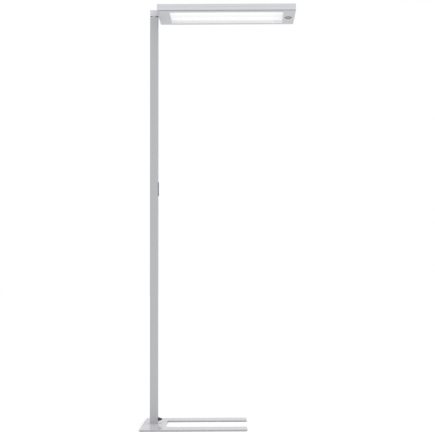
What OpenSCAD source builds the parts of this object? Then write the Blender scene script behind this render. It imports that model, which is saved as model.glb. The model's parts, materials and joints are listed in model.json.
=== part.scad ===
// Office floor lamp. A U-shaped steel base carries a square pole with a switch panel.
// The flat head holds two twin-tube lamps over an opal diffuser and swivels on the pole.
// The vertical axis is the pole's, Z = 0 is the floor, and +X runs along legs and head.

/* [Overall] */
// Height from the floor to the top of the lamp head
overall_height = 1935; // [1700:1:2100]

/* [Base] */
// Length of the base plate, along the legs
base_length = 477; // [420:1:600]
// Depth of the base plate, across both legs
base_depth = 345; // [320:1:420]
// Distance from the pole's axis back to the plate's rear edge
base_back = 50.5; // [42:0.5:60]
// Length of the solid part of the plate, behind the legs
web_length = 106.5; // [95:0.5:130]
// Width of each leg
leg_width = 84; // [60:1:100]
// Thickness of the base plate
plate_thickness = 6; // [6:0.5:12]
// Corner radius of the base plate
plate_corner_r = 3; // [1:0.5:10]
// Thickness of the glides and of the centre pad
glide_thickness = 1.5; // [1:0.5:4]
// Diameter of a glide
glide_diameter = 24; // [16:1:30]
// Distance from the plate's edges to the centre of a glide
glide_inset = 24; // [18:1:30]
// Number of glides along each side
glide_count = 3; // [2:1:5]
// Side of the square pad under the pole
centre_pad_size = 70; // [50:1:84]

/* [Pole] */
// Outer width of the square pole
pole_width = 37; // [35:0.5:40]
// Wall of the pole
pole_wall = 2; // [1.5:0.25:2]
// Outer corner radius of the pole
pole_corner_r = 2.5; // [2.25:0.25:4]
// Height of the block welded into the pole's foot
foot_block_height = 10; // [8:0.5:10]
// Spacing of the four screws that hold the pole to the plate
foot_screw_pitch = 18; // [16:0.5:18]
// Diameter of those screws
foot_screw_d = 6; // [5:0.5:6]
// Diameter of their countersunk heads
foot_screw_head_d = 11.5; // [10:0.5:12]
// Length of those screws
foot_screw_length = 15; // [12:0.5:15]
// Diameter of the drive socket of a screw, as a share of its own diameter
drive_ratio = 0.6; // [0.4:0.05:0.7]
// Depth of the drive socket of a screw
drive_depth = 1.2; // [0.8:0.1:1.4]

/* [Cable entry] */
// Height of the gland's axis above the base plate
gland_rise = 21; // [20.5:0.5:60]
// Diameter of the gland's flange
gland_flange_d = 19; // [17:0.5:22]
// Thickness of the gland's flange
gland_flange_t = 2; // [1.5:0.5:4]
// Diameter of the gland's cone where it leaves the flange
gland_cone_d = 17.5; // [15.5:0.5:18]
// Diameter of the gland's tip
gland_tip_d = 9.2; // [9.2:0.2:12]
// Length of the gland outside the pole
gland_length = 17.5; // [12:0.5:25]
// Bore of the gland, for a cable of 7 mm
gland_bore = 7.2; // [7.1:0.1:7.6]
// Thread diameter of the gland
gland_thread_d = 12; // [11:0.5:13]
// Length of thread inside the pole
gland_thread_length = 6; // [5:0.5:6.5]
// Width across flats of the gland's nut
gland_nut_af = 16; // [15:0.5:17]
// Thickness of the gland's nut
gland_nut_t = 4; // [3:0.5:4.5]
// Diameter of the mains lead inside the lamp
lead_d = 6.5; // [5.5:0.25:6.8]
// Bend radius of the lead's centre line
lead_bend_r = 8; // [7.5:0.25:8.5]

/* [Switch panel] */
// Height of the panel's centre above the base plate
switch_rise = 1083.5; // [900:0.5:1200]
// Length of the panel's flange
switch_length = 66; // [60:1:90]
// Width of the panel's flange
switch_width = 22; // [21:0.5:26]
// How far the flange stands out of the pole
switch_proud = 1.8; // [1.5:0.1:3]
// Corner radius of the flange
switch_corner_r = 2; // [1:0.5:4]
// Border of the flange that rests on the pole
switch_border = 3; // [2.5:0.5:3.5]
// Depth of the panel's box inside the pole
switch_box_depth = 10; // [9.5:0.5:10.5]
// Wall of the panel's box
switch_wall = 1.2; // [1:0.1:1.3]
// Bar between the two keys
key_bar = 3; // [2:0.5:6]
// How far a key stands out of the flange
key_proud = 1; // [0.8:0.1:2]
// Travel of a key
key_travel = 0.8; // [0.5:0.1:0.9]
// Step that keeps a key behind the flange
key_step = 0.8; // [0.6:0.1:1]
// Thickness of that step
key_step_t = 0.8; // [0.6:0.1:1]
// Thickness of the circuit board behind the keys
board_t = 1.2; // [1:0.1:1.6]
// Height of the posts that carry the board
board_post_h = 0.8; // [0.6:0.1:1]
// Diameter of those posts
board_post_d = 3.2; // [2.5:0.1:4]
// Spacing of those posts
board_post_pitch = 38; // [34:1:42]
// Side of a tactile switch
tact_size = 6; // [5:0.5:7]
// Height of the body of a tactile switch
tact_h = 3; // [2.5:0.1:3]
// Diameter of its plunger
plunger_d = 3; // [2:0.1:4]

/* [Swivel] */
// Gap between the pole and the cap, which shows as a dark line
reveal = 6; // [5.5:0.5:8]
// Height of the cap
cap_height = 28.5; // [27.5:0.5:30]
// How far the cap's top lies below the head's top
cap_drop = 0.5; // [0.5:0.5:2]
// Thickness of the cap's floor
cap_floor = 9; // [8:0.5:9.5]
// Wall of the cap
cap_wall = 4; // [3.5:0.25:4]
// Thickness of the lid on the cap
cap_lid_t = 2.5; // [2:0.5:3]
// Width of the rebate that the lid rests on
cap_lid_step = 1.5; // [1:0.25:2]
// Length of the plug in the pole's top
plug_length = 30; // [25:1:40]
// Thickness of the plug's square flange on the pole
plug_flange_t = 1; // [1:0.25:1.5]
// Diameter of the collars on plug and cap
collar_d = 27; // [26.5:0.5:28]
// Height of the plug's collar, with its flange
collar_h = 3; // [2.5:0.25:3]
// Thickness of the thrust washer
thrust_washer_t = 1.2; // [1:0.1:1.5]
// Diameter of the swivel spindle
spindle_d = 16; // [15.5:0.25:16.5]
// Bore of the spindle, for the lead
spindle_bore = 9; // [8.5:0.25:9.5]
// Diameter of the spindle's flange
spindle_flange_d = 20; // [19:0.5:21]
// Thickness of the spindle's flange
spindle_flange_t = 1.5; // [1:0.25:2]
// Wall of the swivel's bush
bush_wall = 1; // [0.8:0.1:1]
// Thickness of the spring washer above the nut
spring_washer_t = 1.2; // [1:0.1:2]
// Width across flats of the spindle's nut
spindle_nut_af = 24; // [22:0.5:25]
// Thickness of the spindle's nut
spindle_nut_t = 8; // [6:0.5:10]
// Diameter of the stop pin
stop_pin_d = 2.5; // [2:0.1:2.5]
// Distance from the pole's axis to the stop pin
stop_pin_r = 10.9; // [10.9:0.1:11.2]
// Depth of the pin's hole in the plug
stop_pin_depth = 5; // [4:0.5:8]
// Height of the stop pin inside the cap's groove
stop_pin_reach = 2; // [1.5:0.25:2.5]
// Turn to each side at which the stop pin meets its groove
swivel_limit = 90; // [60:1:120]
// Diameter of the screws that hold the plug
plug_screw_d = 4; // [3:0.5:4]
// Head diameter of those screws
plug_screw_head_d = 7.5; // [6.5:0.5:8]
// Length of those screws
plug_screw_length = 6; // [5:0.5:6.5]
// Spacing of those screws
plug_screw_pitch = 14; // [10:1:16]

/* [Head body] */
// Length of the lamp head
head_length = 640; // [620:1:700]
// Depth of the lamp head
head_depth = 222; // [215:1:260]
// Thickness of the lamp head
head_thickness = 34; // [34:0.5:40]
// Length of the neck between cap and head
neck_length = 3; // [2:0.5:6]
// Width of the neck
neck_width = 27; // [26:0.5:30]
// Height of the neck
neck_height = 18; // [16:0.5:19]
// Thickness of the end plates
end_plate_t = 3; // [2.5:0.25:5]
// Corner radius of the end plates
end_plate_r = 1; // [0.5:0.25:3]
// Wall of the side rails
rail_wall = 2; // [1.5:0.25:2.5]
// Thickness of the rails' top flange
rail_flange_t = 2; // [1.5:0.25:2.5]
// Width of the rails' top flange
rail_flange_w = 14; // [12:0.5:20]
// Width of the lip that carries the top cover
cover_lip_w = 6; // [4:0.5:8]
// Thickness of the rails' inner lips
rail_lip_t = 1.5; // [1:0.25:1.75]
// Width of the shelf that carries the reflector
rail_shelf_w = 9; // [8:0.5:10]
// Outer diameter of the screw channels in the rails
channel_d = 6.4; // [6:0.2:7]
// Diameter of the screws in the end plates
end_screw_d = 3; // [2.5:0.25:3]
// Head diameter of those screws
end_screw_head_d = 5.6; // [5:0.2:6]
// Length of those screws
end_screw_length = 12; // [8:0.5:16]
// Height of the fine joint line on the rails, above their lower edge
seam_height = 15; // [8:0.5:20]
// Width of that joint line
seam_width = 1; // [0.5:0.1:1.5]
// Depth of that joint line
seam_depth = 0.6; // [0.3:0.1:0.8]
// Thickness of the clear top cover
cover_t = 2; // [1.5:0.25:2.5]

/* [Head underside] */
// Thickness of the bottom tray
tray_t = 1.5; // [1:0.25:1.75]
// Height of the shadow groove above the tray's edge
groove_height = 3.5; // [2.5:0.5:4]
// Depth of the shadow groove
groove_depth = 3; // [2.5:0.25:4]
// Length of the light opening
opening_length = 526; // [500:1:530]
// Width of the light opening
opening_width = 176; // [160:1:180]
// Distance from the inner end of the head to the light opening
opening_margin = 57; // [50:1:60]
// Depth of the diffuser behind the underside
recess_depth = 8; // [7:0.25:8.5]
// Wall of the white frame round the light opening
frame_t = 1.2; // [1:0.1:2]
// Width of that frame's flange on the tray
frame_flange = 4; // [3:0.5:6]
// Thickness of the diffuser
diffuser_t = 2; // [1.5:0.25:2.5]
// How far the diffuser reaches past the opening
diffuser_overlap = 5; // [4:0.5:5.5]
// Length of a clip that holds the tray
tray_clip_length = 14; // [10:1:20]
// Number of clips along each side
tray_clip_count = 3; // [2:1:5]

/* [Sensor] */
// Distance from the outer end of the head to the sensor's centre
sensor_margin = 29; // [24:1:32]
// Outer diameter of the sensor's ring
sensor_ring_d = 32; // [28:0.5:36]
// How far the ring stands below the underside
sensor_ring_t = 2; // [1:0.25:2.5]
// Diameter of the sensor's barrel in the tray
sensor_barrel_d = 26; // [24:0.5:27]
// Wall of that barrel
sensor_wall = 1.5; // [1:0.25:2]
// Height of that barrel above the underside
sensor_barrel_h = 7; // [5.5:0.25:8]
// How far the lens's rim sits above the ring's face
lens_recess = 3.5; // [2.5:0.25:4]
// How far the lens bulges below its rim
lens_bulge = 2; // [1.5:0.25:2.5]
// Thickness of the lens
lens_t = 1; // [0.8:0.1:1.2]
// Height of the lens's rim inside the barrel
lens_rim_h = 2; // [1:0.25:2.5]
// Diameter of the infrared detector on the sensor's board
detector_d = 8; // [6:0.5:10]
// Height of that detector
detector_h = 2.4; // [1.5:0.1:2.5]

/* [Lamps] */
// Distance of each lamp from the head's centre line
lamp_offset = 40; // [39:0.5:44]
// Length of a lamp with its base
lamp_length = 535; // [500:1:560]
// Diameter of the lamp's tubes
tube_d = 17.5; // [16:0.25:17.75]
// Distance between the two tubes of a lamp
tube_pitch = 20.8; // [20:0.2:22]
// Diameter of the bridge that joins two tubes
tube_bridge_d = 9; // [6:0.5:12]
// Distance from a lamp's tip to that bridge
tube_bridge_back = 16; // [12:1:30]
// Length of a lamp's plastic base
lamp_base_length = 26; // [20:0.5:27]
// Width of a lamp's plastic base
lamp_base_width = 40; // [38:0.5:42]
// Height of a lamp's plastic base
lamp_base_height = 18; // [16:0.5:18.5]
// Corner radius of a lamp's plastic base
lamp_base_r = 4; // [2:0.5:6]
// Diameter of a contact pin
pin_d = 2.4; // [2:0.1:3]
// Length of a contact pin
pin_length = 7; // [5:0.5:9]
// Spacing of the outer contact pins
pin_pitch = 10; // [8:0.5:11]
// Length of a lampholder
holder_length = 20; // [16:0.5:21]
// Width of a lampholder
holder_width = 43; // [41:0.5:44]
// Height of a lampholder
holder_height = 18.5; // [17:0.25:18.75]
// Length of a lamp clip, along the lamp
clip_length = 12; // [8:0.5:20]
// Thickness of a lamp clip
clip_t = 0.8; // [0.6:0.1:0.9]
// Distance from a lamp's tip back to its clip
clip_back = 30; // [25:1:60]
// Thickness of the reflector sheet
reflector_t = 0.8; // [0.6:0.1:1]
// Clearance between lamp and reflector at the top
reflector_gap = 4; // [2:0.5:6]

/* [Gear] */
// Width of the spine that carries gear and lamps
spine_width = 35; // [34.5:0.25:36]
// Wall of the spine
spine_wall = 1; // [0.8:0.1:1]
// Length of the bracket that joins the spine to the pole's cap
bracket_length = 32; // [26:1:36]
// Height of the bracket
bracket_height = 17; // [16:0.25:17.25]
// Spacing of the two screws that join cap and bracket
arm_screw_pitch = 18; // [17.5:0.25:18.25]
// Diameter of those screws
arm_screw_d = 5; // [4:0.25:5]
// Head diameter of those screws
arm_screw_head_d = 8.5; // [7.5:0.25:8.5]
// Head height of those screws
arm_screw_head_h = 3; // [2.5:0.25:3]
// Length of those screws
arm_screw_length = 22; // [16:0.5:26]
// Bore for the lead through cap, end plate and bracket
lead_hole_d = 8; // [7.5:0.25:8.5]
// Distance from bracket to terminal block
terminal_gap = 8; // [4:0.5:15]
// Length of the terminal block
terminal_length = 30; // [20:1:40]
// Width of the terminal block
terminal_width = 22; // [16:0.5:28]
// Height of the terminal block
terminal_height = 13; // [12:0.5:15]
// Distance from terminal block to ballast
ballast_gap = 20; // [10:1:60]
// Length of the ballast
ballast_length = 360; // [280:1:380]
// Width of the ballast
ballast_width = 30; // [26:0.5:31]
// Height of the ballast
ballast_height = 16; // [12:0.5:16.5]
// Length of the fixing tab at either end of the ballast
ballast_tab = 10; // [8:0.5:14]
// Thickness of those tabs
ballast_tab_t = 1.5; // [1:0.25:2]
// Diameter of the screws in those tabs
ballast_screw_d = 3; // [2.5:0.25:3.5]
// Head diameter of those screws
ballast_screw_head_d = 5.5; // [5:0.25:6]
// Head height of those screws
ballast_screw_head_h = 2; // [1.5:0.25:2.5]

/* [Hidden] */
$fn = 64;

// Clearances
cut = 1;             // overshoot of a cutting solid
seat_gap = 0.1;      // between pieces pushed together by hand
press_gap = 0.02;    // radial, between pressed pieces
thread_gap = 0.05;   // radial, between a screw and its thread
hole_gap = 0.2;      // radial, between a screw and its clearance hole
running_gap = 0.05;  // radial, in the swivel's bearing
key_gap = 0.15;      // round a key
stop_gap = 0.3;      // between stop pin and groove
sheet_gap = 0.25;    // between stacked sheets

// Base
plate_top = glide_thickness + plate_thickness;
base_front = base_length - base_back;
base_centre_x = base_front - base_length / 2;
gap_width = base_depth - 2 * leg_width;
web_front = web_length - base_back;

// Pole
pole_half = pole_width / 2;
bore_width = pole_width - 2 * pole_wall;
insert_width = bore_width - 2 * seat_gap;
bore_corner_r = max(pole_corner_r - pole_wall, 0.25);
head_top = overall_height;
cap_top = head_top - cap_drop;
cap_bottom = cap_top - cap_height;
pole_top = cap_bottom - reveal;
gland_z = plate_top + gland_rise;
gland_inner_x = pole_half - pole_wall - gland_thread_length;

// Switch panel
switch_z = plate_top + switch_rise;
flange_x = pole_half + switch_proud;
box_width = switch_width - 2 * switch_border;
box_length = switch_length - 2 * switch_border;
box_back_x = pole_half - switch_box_depth;
cavity_width = box_width - 2 * switch_wall;
cavity_length = box_length - 2 * switch_wall;
window_width = cavity_width - 2 * key_step;
window_length = (cavity_length - 2 * key_step - key_bar) / 2;
key_centre = (window_length + key_bar) / 2;
key_step_x = pole_half - key_gap - key_step_t;
board_x = box_back_x + switch_wall + board_post_h;
tact_x = board_x + board_t;
plunger_x = key_step_x - key_travel - seat_gap;

// Swivel
collar_r = collar_d / 2;
collar_top = pole_top + collar_h;
plug_bottom = pole_top - plug_length;
hub_bottom = collar_top + thrust_washer_t + seat_gap;
spindle_r = spindle_d / 2;
bush_r = spindle_r + running_gap + bush_wall;
cap_floor_top = cap_bottom + cap_floor;
lid_z = cap_top - cap_lid_t;
cavity_cap = pole_width - 2 * cap_wall;
washer_z = plug_bottom - seat_gap - spring_washer_t;
nut_z = washer_z - spindle_nut_t;
groove_angle = 2 * (swivel_limit + asin((stop_pin_d / 2 + stop_gap) / stop_pin_r));
groove_top = hub_bottom + stop_pin_reach + 2 * stop_gap;

// Head
head_x0 = pole_half + neck_length;
head_x1 = head_x0 + head_length;
inner_x0 = head_x0 + end_plate_t;
inner_x1 = head_x1 - end_plate_t;
inner_length = inner_x1 - inner_x0;
head_half = head_depth / 2;
rail_inner = head_half - rail_wall;
head_bottom = head_top - head_thickness;
tray_top = head_bottom + tray_t;
rail_bottom = tray_top + groove_height;
diffuser_bottom = head_bottom + recess_depth;
diffuser_top = diffuser_bottom + diffuser_t;
shelf_top = diffuser_top;
shelf_bottom = shelf_top - rail_lip_t;
cover_bottom = head_top - rail_flange_t - cover_t;
cover_lip_bottom = cover_bottom - rail_lip_t;
channel_y = rail_inner - channel_d / 2 + rail_wall / 2;
channel_z = [shelf_top - rail_lip_t / 2 + channel_d / 2, cover_lip_bottom + rail_lip_t / 2 - channel_d / 2];
opening_x0 = head_x0 + opening_margin;
sensor_x = head_x1 - sensor_margin;

// Gear and lamps
spine_bottom = diffuser_top + sheet_gap;
spine_floor = spine_bottom + spine_wall;
spine_top = cover_bottom - sheet_gap;
spine_half = spine_width / 2;
lamp_z = (diffuser_top + cover_bottom) / 2;
arm_z = lamp_z;
lead_split_z = arm_z - lead_bend_r;
lead_r = lead_d / 2;
holder_x1 = inner_x0 + holder_length;
lamp_base_x1 = holder_x1 + lamp_base_length;
lamp_tip = holder_x1 + lamp_length;
tube_r = tube_d / 2;
lamp_half = (tube_pitch + tube_d) / 2;
bracket_x1 = inner_x0 + bracket_length;
terminal_x0 = bracket_x1 + terminal_gap;
ballast_x0 = terminal_x0 + terminal_length + ballast_gap;

// Colours
white_paint = [0.85, 0.86, 0.87];
pole_paint = [0.74, 0.76, 0.78];
steel = [0.7, 0.7, 0.72];
black_plastic = [0.15, 0.15, 0.16];
grey_plastic = [0.5, 0.5, 0.53];
opal = [0.97, 0.98, 0.97];
brass = [0.8, 0.68, 0.4];
board_green = [0.2, 0.42, 0.3];

// ---- Shapes that repeat ----

module rounded_rect(w, d, r) {
    square([w - 2 * r, d], center = true);
    square([w, d - 2 * r], center = true);
    for (x = [-1, 1], y = [-1, 1]) translate([x * (w / 2 - r), y * (d / 2 - r)]) circle(r = r);
}

// A flat outline in Y and Z, drawn out along X from x by length.
module along_x(x, length) {
    translate([x, 0, 0]) rotate([90, 0, 90]) linear_extrude(height = length) children();
}

// A block between two corners.
module block(low, high) {
    translate(low) cube(high - low);
}

// A solid of revolution whose axis runs along X, pointing to +X.
module axis_x(x, y, z) {
    translate([x, y, z]) rotate([0, 90, 0]) children();
}

// A countersunk screw with its head's face at z = 0 and its shank up along +Z.
module countersunk_screw(d, head_d, length) {
    difference() {
        union() {
            cylinder(d = d, h = length);
            cylinder(d1 = head_d, d2 = d, h = (head_d - d) / 2);
        }
        translate([0, 0, -cut]) cylinder(d = d * drive_ratio, h = drive_depth + cut, $fn = 6);
    }
}

// The hole for a countersunk screw, through a wall that starts at z = 0.
module countersunk_hole(d, head_d, length) {
    translate([0, 0, -cut]) cylinder(r = d / 2 + hole_gap, h = length + 2 * cut);
    cone_h = (head_d - d) / 2;
    translate([0, 0, -cut])
        cylinder(r1 = head_d / 2 + hole_gap + cut, r2 = d / 2 + hole_gap, h = cone_h + hole_gap + cut);
}

module ring(r_out, r_in, h) {
    difference() {
        cylinder(r = r_out, h = h);
        translate([0, 0, -cut]) cylinder(r = r_in, h = h + 2 * cut);
    }
}

module hex_nut(af, r_in, h) {
    difference() {
        cylinder(d = af / cos(30), h = h, $fn = 6);
        translate([0, 0, -cut]) cylinder(r = r_in, h = h + 2 * cut, $fn = 64);
    }
}

// A quarter turn of the lead, from straight down at the origin to along +X.
module lead_elbow() {
    translate([lead_bend_r, 0, 0]) rotate([90, 0, 0])
        rotate([0, 0, 90]) rotate_extrude(angle = 90) translate([lead_bend_r, 0]) circle(r = lead_r);
}

// ---- Base ----

module foot_screw_places() {
    half = foot_screw_pitch / 2;
    for (x = [-half, half], y = [-half, half]) translate([x, y, glide_thickness]) children();
}

module base_plate() {
    color(white_paint) difference() {
        translate([base_centre_x, 0, glide_thickness]) linear_extrude(height = plate_thickness)
            rounded_rect(base_length, base_depth, plate_corner_r);
        block([web_front, -gap_width / 2, 0], [base_front + cut, gap_width / 2, plate_top + cut]);
        foot_screw_places() countersunk_hole(foot_screw_d, foot_screw_head_d, plate_thickness);
    }
}

module glides() {
    first = -base_back + glide_inset;
    pitch = (base_length - 2 * glide_inset) / (glide_count - 1);
    color(grey_plastic) for (i = [0 : glide_count - 1], side = [-1, 1])
        translate([first + i * pitch, side * (base_depth / 2 - glide_inset), 0])
            cylinder(d = glide_diameter, h = glide_thickness);
}

module centre_pad() {
    color(grey_plastic) linear_extrude(height = glide_thickness)
        rounded_rect(centre_pad_size, centre_pad_size, plate_corner_r);
}

module base_screws() {
    color(steel) foot_screw_places()
        countersunk_screw(foot_screw_d, foot_screw_head_d, foot_screw_length);
}

module foot_block() {
    color(steel) difference() {
        translate([0, 0, plate_top]) linear_extrude(height = foot_block_height)
            rounded_rect(insert_width, insert_width, bore_corner_r);
        foot_screw_places() cylinder(r = foot_screw_d / 2 + thread_gap,
                                     h = plate_thickness + foot_block_height + cut);
    }
}

// ---- Pole ----

// Places of the two screws that hold the plug, heads on the pole's rear face.
module plug_screw_places() {
    middle = pole_top - plug_length / 2;
    for (s = [-1, 1]) translate([0, pole_half, middle + s * plug_screw_pitch / 2])
        rotate([90, 0, 0]) children();
}

module pole_tube() {
    color(pole_paint) difference() {
        translate([0, 0, plate_top]) linear_extrude(height = pole_top - plate_top) difference() {
            rounded_rect(pole_width, pole_width, pole_corner_r);
            rounded_rect(bore_width, bore_width, bore_corner_r);
        }
        axis_x(0, 0, gland_z) cylinder(r = gland_thread_d / 2 + hole_gap, h = pole_width);
        block([0, -box_width / 2 - hole_gap, switch_z - box_length / 2 - hole_gap],
              [pole_width, box_width / 2 + hole_gap, switch_z + box_length / 2 + hole_gap]);
        plug_screw_places() countersunk_hole(plug_screw_d, plug_screw_head_d, pole_wall);
    }
}

module cable_gland() {
    bore_r = gland_bore / 2;
    color(black_plastic) axis_x(0, 0, gland_z) difference() {
        union() {
            translate([0, 0, gland_inner_x])
                cylinder(d = gland_thread_d, h = pole_half - gland_inner_x + gland_flange_t);
            translate([0, 0, pole_half]) cylinder(d = gland_flange_d, h = gland_flange_t);
            translate([0, 0, pole_half + gland_flange_t])
                cylinder(d1 = gland_cone_d, d2 = gland_tip_d, h = gland_length - gland_flange_t);
        }
        translate([0, 0, gland_inner_x - cut])
            cylinder(r = bore_r, h = gland_length + pole_half - gland_inner_x + 2 * cut);
    }
}

module gland_nut() {
    color(black_plastic) axis_x(pole_half - pole_wall - gland_nut_t, 0, gland_z)
        hex_nut(gland_nut_af, gland_thread_d / 2 + thread_gap, gland_nut_t);
}

// The lead inside the pole, from the gland to the swivel, on the pole's axis.
module pole_lead() {
    color(black_plastic) {
        axis_x(lead_bend_r, 0, gland_z) cylinder(r = lead_r, h = gland_inner_x - lead_bend_r);
        translate([0, 0, gland_z + lead_bend_r]) mirror([0, 0, 1]) lead_elbow();
        translate([0, 0, gland_z + lead_bend_r])
            cylinder(r = lead_r, h = lead_split_z - gland_z - lead_bend_r);
    }
}

// ---- Switch panel ----

module key_places() {
    for (s = [-1, 1]) translate([0, 0, switch_z + s * key_centre]) children();
}

module switch_housing() {
    color(grey_plastic) difference() {
        union() {
            translate([0, 0, switch_z]) along_x(pole_half, switch_proud)
                rounded_rect(switch_width, switch_length, switch_corner_r);
            block([box_back_x, -box_width / 2, switch_z - box_length / 2],
                  [pole_half, box_width / 2, switch_z + box_length / 2]);
        }
        difference() {
            block([box_back_x + switch_wall, -cavity_width / 2, switch_z - cavity_length / 2],
                  [pole_half, cavity_width / 2, switch_z + cavity_length / 2]);
            for (s = [-1, 1]) axis_x(box_back_x, 0, switch_z + s * board_post_pitch / 2)
                cylinder(d = board_post_d, h = switch_wall + board_post_h);
        }
        key_places() block([box_back_x + switch_wall + board_post_h, -window_width / 2, -window_length / 2],
                           [flange_x + cut, window_width / 2, window_length / 2]);
    }
}

module switch_board() {
    half_w = cavity_width / 2 - seat_gap;
    half_l = cavity_length / 2 - seat_gap;
    color(board_green) block([board_x, -half_w, switch_z - half_l], [tact_x, half_w, switch_z + half_l]);
}

module tact_switches() {
    half = tact_size / 2;
    color(black_plastic) key_places() {
        block([tact_x, -half, -half], [tact_x + tact_h, half, half]);
        axis_x(tact_x, 0, 0) cylinder(d = plunger_d, h = plunger_x - tact_x);
    }
}

// A key, above the panel's centre with side 1 and below it with side -1.
module key(side) {
    half_w = window_width / 2 - key_gap;
    half_l = window_length / 2 - key_gap;
    step = key_step - key_gap / 2;
    color(grey_plastic) translate([0, 0, switch_z + side * key_centre]) {
        block([key_step_x, -half_w, -half_l], [flange_x + key_proud, half_w, half_l]);
        block([key_step_x, -half_w - step, -half_l], [key_step_x + key_step_t, half_w + step, half_l]);
    }
}

// ---- Swivel: pieces on the pole ----

module pole_plug() {
    color(steel) difference() {
        union() {
            translate([0, 0, plug_bottom]) linear_extrude(height = plug_length)
                rounded_rect(insert_width, insert_width, bore_corner_r);
            translate([0, 0, pole_top]) linear_extrude(height = plug_flange_t)
                rounded_rect(pole_width - pole_wall, pole_width - pole_wall, bore_corner_r);
            translate([0, 0, pole_top]) cylinder(r = collar_r, h = collar_h);
        }
        translate([0, 0, plug_bottom - cut])
            cylinder(r = bush_r + press_gap, h = plug_length + collar_h + 2 * cut);
        translate([-stop_pin_r, 0, collar_top - stop_pin_depth])
            cylinder(r = stop_pin_d / 2 + press_gap, h = stop_pin_depth + cut);
        plug_screw_places() cylinder(r = plug_screw_d / 2 + thread_gap, h = pole_half);
    }
}

module plug_screws() {
    color(steel) plug_screw_places()
        countersunk_screw(plug_screw_d, plug_screw_head_d, plug_screw_length);
}

module swivel_bush() {
    color(brass) translate([0, 0, plug_bottom])
        ring(bush_r, spindle_r + running_gap, plug_length + collar_h);
}

module thrust_washer() {
    color(black_plastic) translate([0, 0, collar_top])
        ring(stop_pin_r - stop_pin_d / 2 - stop_gap, spindle_r + hole_gap, thrust_washer_t);
}

module stop_pin() {
    color(steel) translate([-stop_pin_r, 0, collar_top - stop_pin_depth])
        cylinder(d = stop_pin_d, h = stop_pin_depth + hub_bottom - collar_top + stop_pin_reach);
}

// ---- Swivel: pieces on the head ----

module arm_screw_places(x) {
    for (s = [-1, 1]) axis_x(x, s * arm_screw_pitch / 2, arm_z) children();
}

module pole_cap() {
    groove_half = stop_pin_d / 2 + stop_gap;
    color(white_paint) difference() {
        union() {
            translate([0, 0, cap_bottom]) linear_extrude(height = cap_height)
                rounded_rect(pole_width, pole_width, pole_corner_r);
            translate([0, 0, hub_bottom]) cylinder(r = collar_r, h = cap_bottom - hub_bottom + cap_floor);
            block([0, -neck_width / 2, arm_z - neck_height / 2],
                  [head_x0, neck_width / 2, arm_z + neck_height / 2]);
        }
        translate([0, 0, cap_floor_top]) linear_extrude(height = cap_height)
            square([cavity_cap, cavity_cap], center = true);
        translate([0, 0, lid_z]) linear_extrude(height = cap_height)
            square([cavity_cap + 2 * cap_lid_step, cavity_cap + 2 * cap_lid_step], center = true);
        translate([0, 0, hub_bottom - cut]) cylinder(r = spindle_r + press_gap, h = cap_height);
        axis_x(0, 0, arm_z) cylinder(d = lead_hole_d, h = pole_width);
        arm_screw_places(0) cylinder(r = arm_screw_d / 2 + hole_gap, h = pole_width);
        translate([0, 0, hub_bottom - cut]) rotate([0, 0, 180 - groove_angle / 2])
            rotate_extrude(angle = groove_angle) translate([stop_pin_r - groove_half, 0])
                square([2 * groove_half, groove_top - hub_bottom + cut]);
    }
}

module cap_lid() {
    size = cavity_cap + 2 * cap_lid_step - 2 * seat_gap;
    color(white_paint) translate([0, 0, lid_z]) linear_extrude(height = cap_lid_t)
        square([size, size], center = true);
}

module swivel_spindle() {
    color(steel) difference() {
        union() {
            translate([0, 0, nut_z]) cylinder(r = spindle_r, h = cap_floor_top - nut_z + spindle_flange_t);
            translate([0, 0, cap_floor_top]) cylinder(d = spindle_flange_d, h = spindle_flange_t);
        }
        translate([0, 0, nut_z - cut]) cylinder(d = spindle_bore, h = pole_top);
    }
}

module spring_washer() {
    color(steel) translate([0, 0, washer_z])
        ring(spindle_nut_af / 2, spindle_r + thread_gap, spring_washer_t);
}

module spindle_nut() {
    color(steel) translate([0, 0, nut_z]) hex_nut(spindle_nut_af, spindle_r + thread_gap, spindle_nut_t);
}

module arm_screws() {
    head_x = pole_half - cap_wall - arm_screw_head_h;
    color(steel) arm_screw_places(head_x) difference() {
        union() {
            cylinder(d = arm_screw_head_d, h = arm_screw_head_h);
            cylinder(d = arm_screw_d, h = arm_screw_head_h + arm_screw_length);
        }
        translate([0, 0, -cut]) cylinder(d = arm_screw_d * drive_ratio, h = drive_depth + cut, $fn = 6);
    }
}

module arm_bracket() {
    half_w = spine_half - spine_wall - seat_gap;
    color(steel) difference() {
        block([inner_x0, -half_w, spine_floor], [bracket_x1, half_w, spine_floor + bracket_height]);
        axis_x(inner_x0 - cut, 0, arm_z) cylinder(d = lead_hole_d, h = bracket_length + 2 * cut);
        arm_screw_places(inner_x0 - cut)
            cylinder(r = arm_screw_d / 2 + thread_gap, h = bracket_length + 2 * cut);
    }
}

// The lead inside the head, from the swivel to the terminal block.
module head_lead() {
    color(black_plastic) {
        translate([0, 0, lead_split_z]) lead_elbow();
        axis_x(lead_bend_r, 0, arm_z) cylinder(r = lead_r, h = terminal_x0 - lead_bend_r);
    }
}

// ---- Head body ----

// Places of the four screws of an end plate, heads outward: end 1 is the outer end.
module end_screw_places(end) {
    x = end > 0 ? head_x1 : head_x0;
    for (side = [-1, 1], z = channel_z) translate([x, side * channel_y, z])
        rotate([0, end > 0 ? -90 : 90, 0]) children();
}

module end_plate(end) {
    x = end > 0 ? inner_x1 : head_x0;
    color(white_paint) difference() {
        translate([0, 0, (head_top + head_bottom) / 2]) along_x(x, end_plate_t)
            rounded_rect(head_depth, head_thickness, end_plate_r);
        end_screw_places(end) countersunk_hole(end_screw_d, end_screw_head_d, end_plate_t);
        if (end < 0) {
            axis_x(x - cut, 0, arm_z) cylinder(d = lead_hole_d, h = end_plate_t + 2 * cut);
            arm_screw_places(x - cut) cylinder(r = arm_screw_d / 2 + hole_gap, h = end_plate_t + 2 * cut);
        }
    }
}

module end_screws() {
    color(steel) for (end = [-1, 1]) end_screw_places(end)
        countersunk_screw(end_screw_d, end_screw_head_d, end_screw_length);
}

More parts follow.
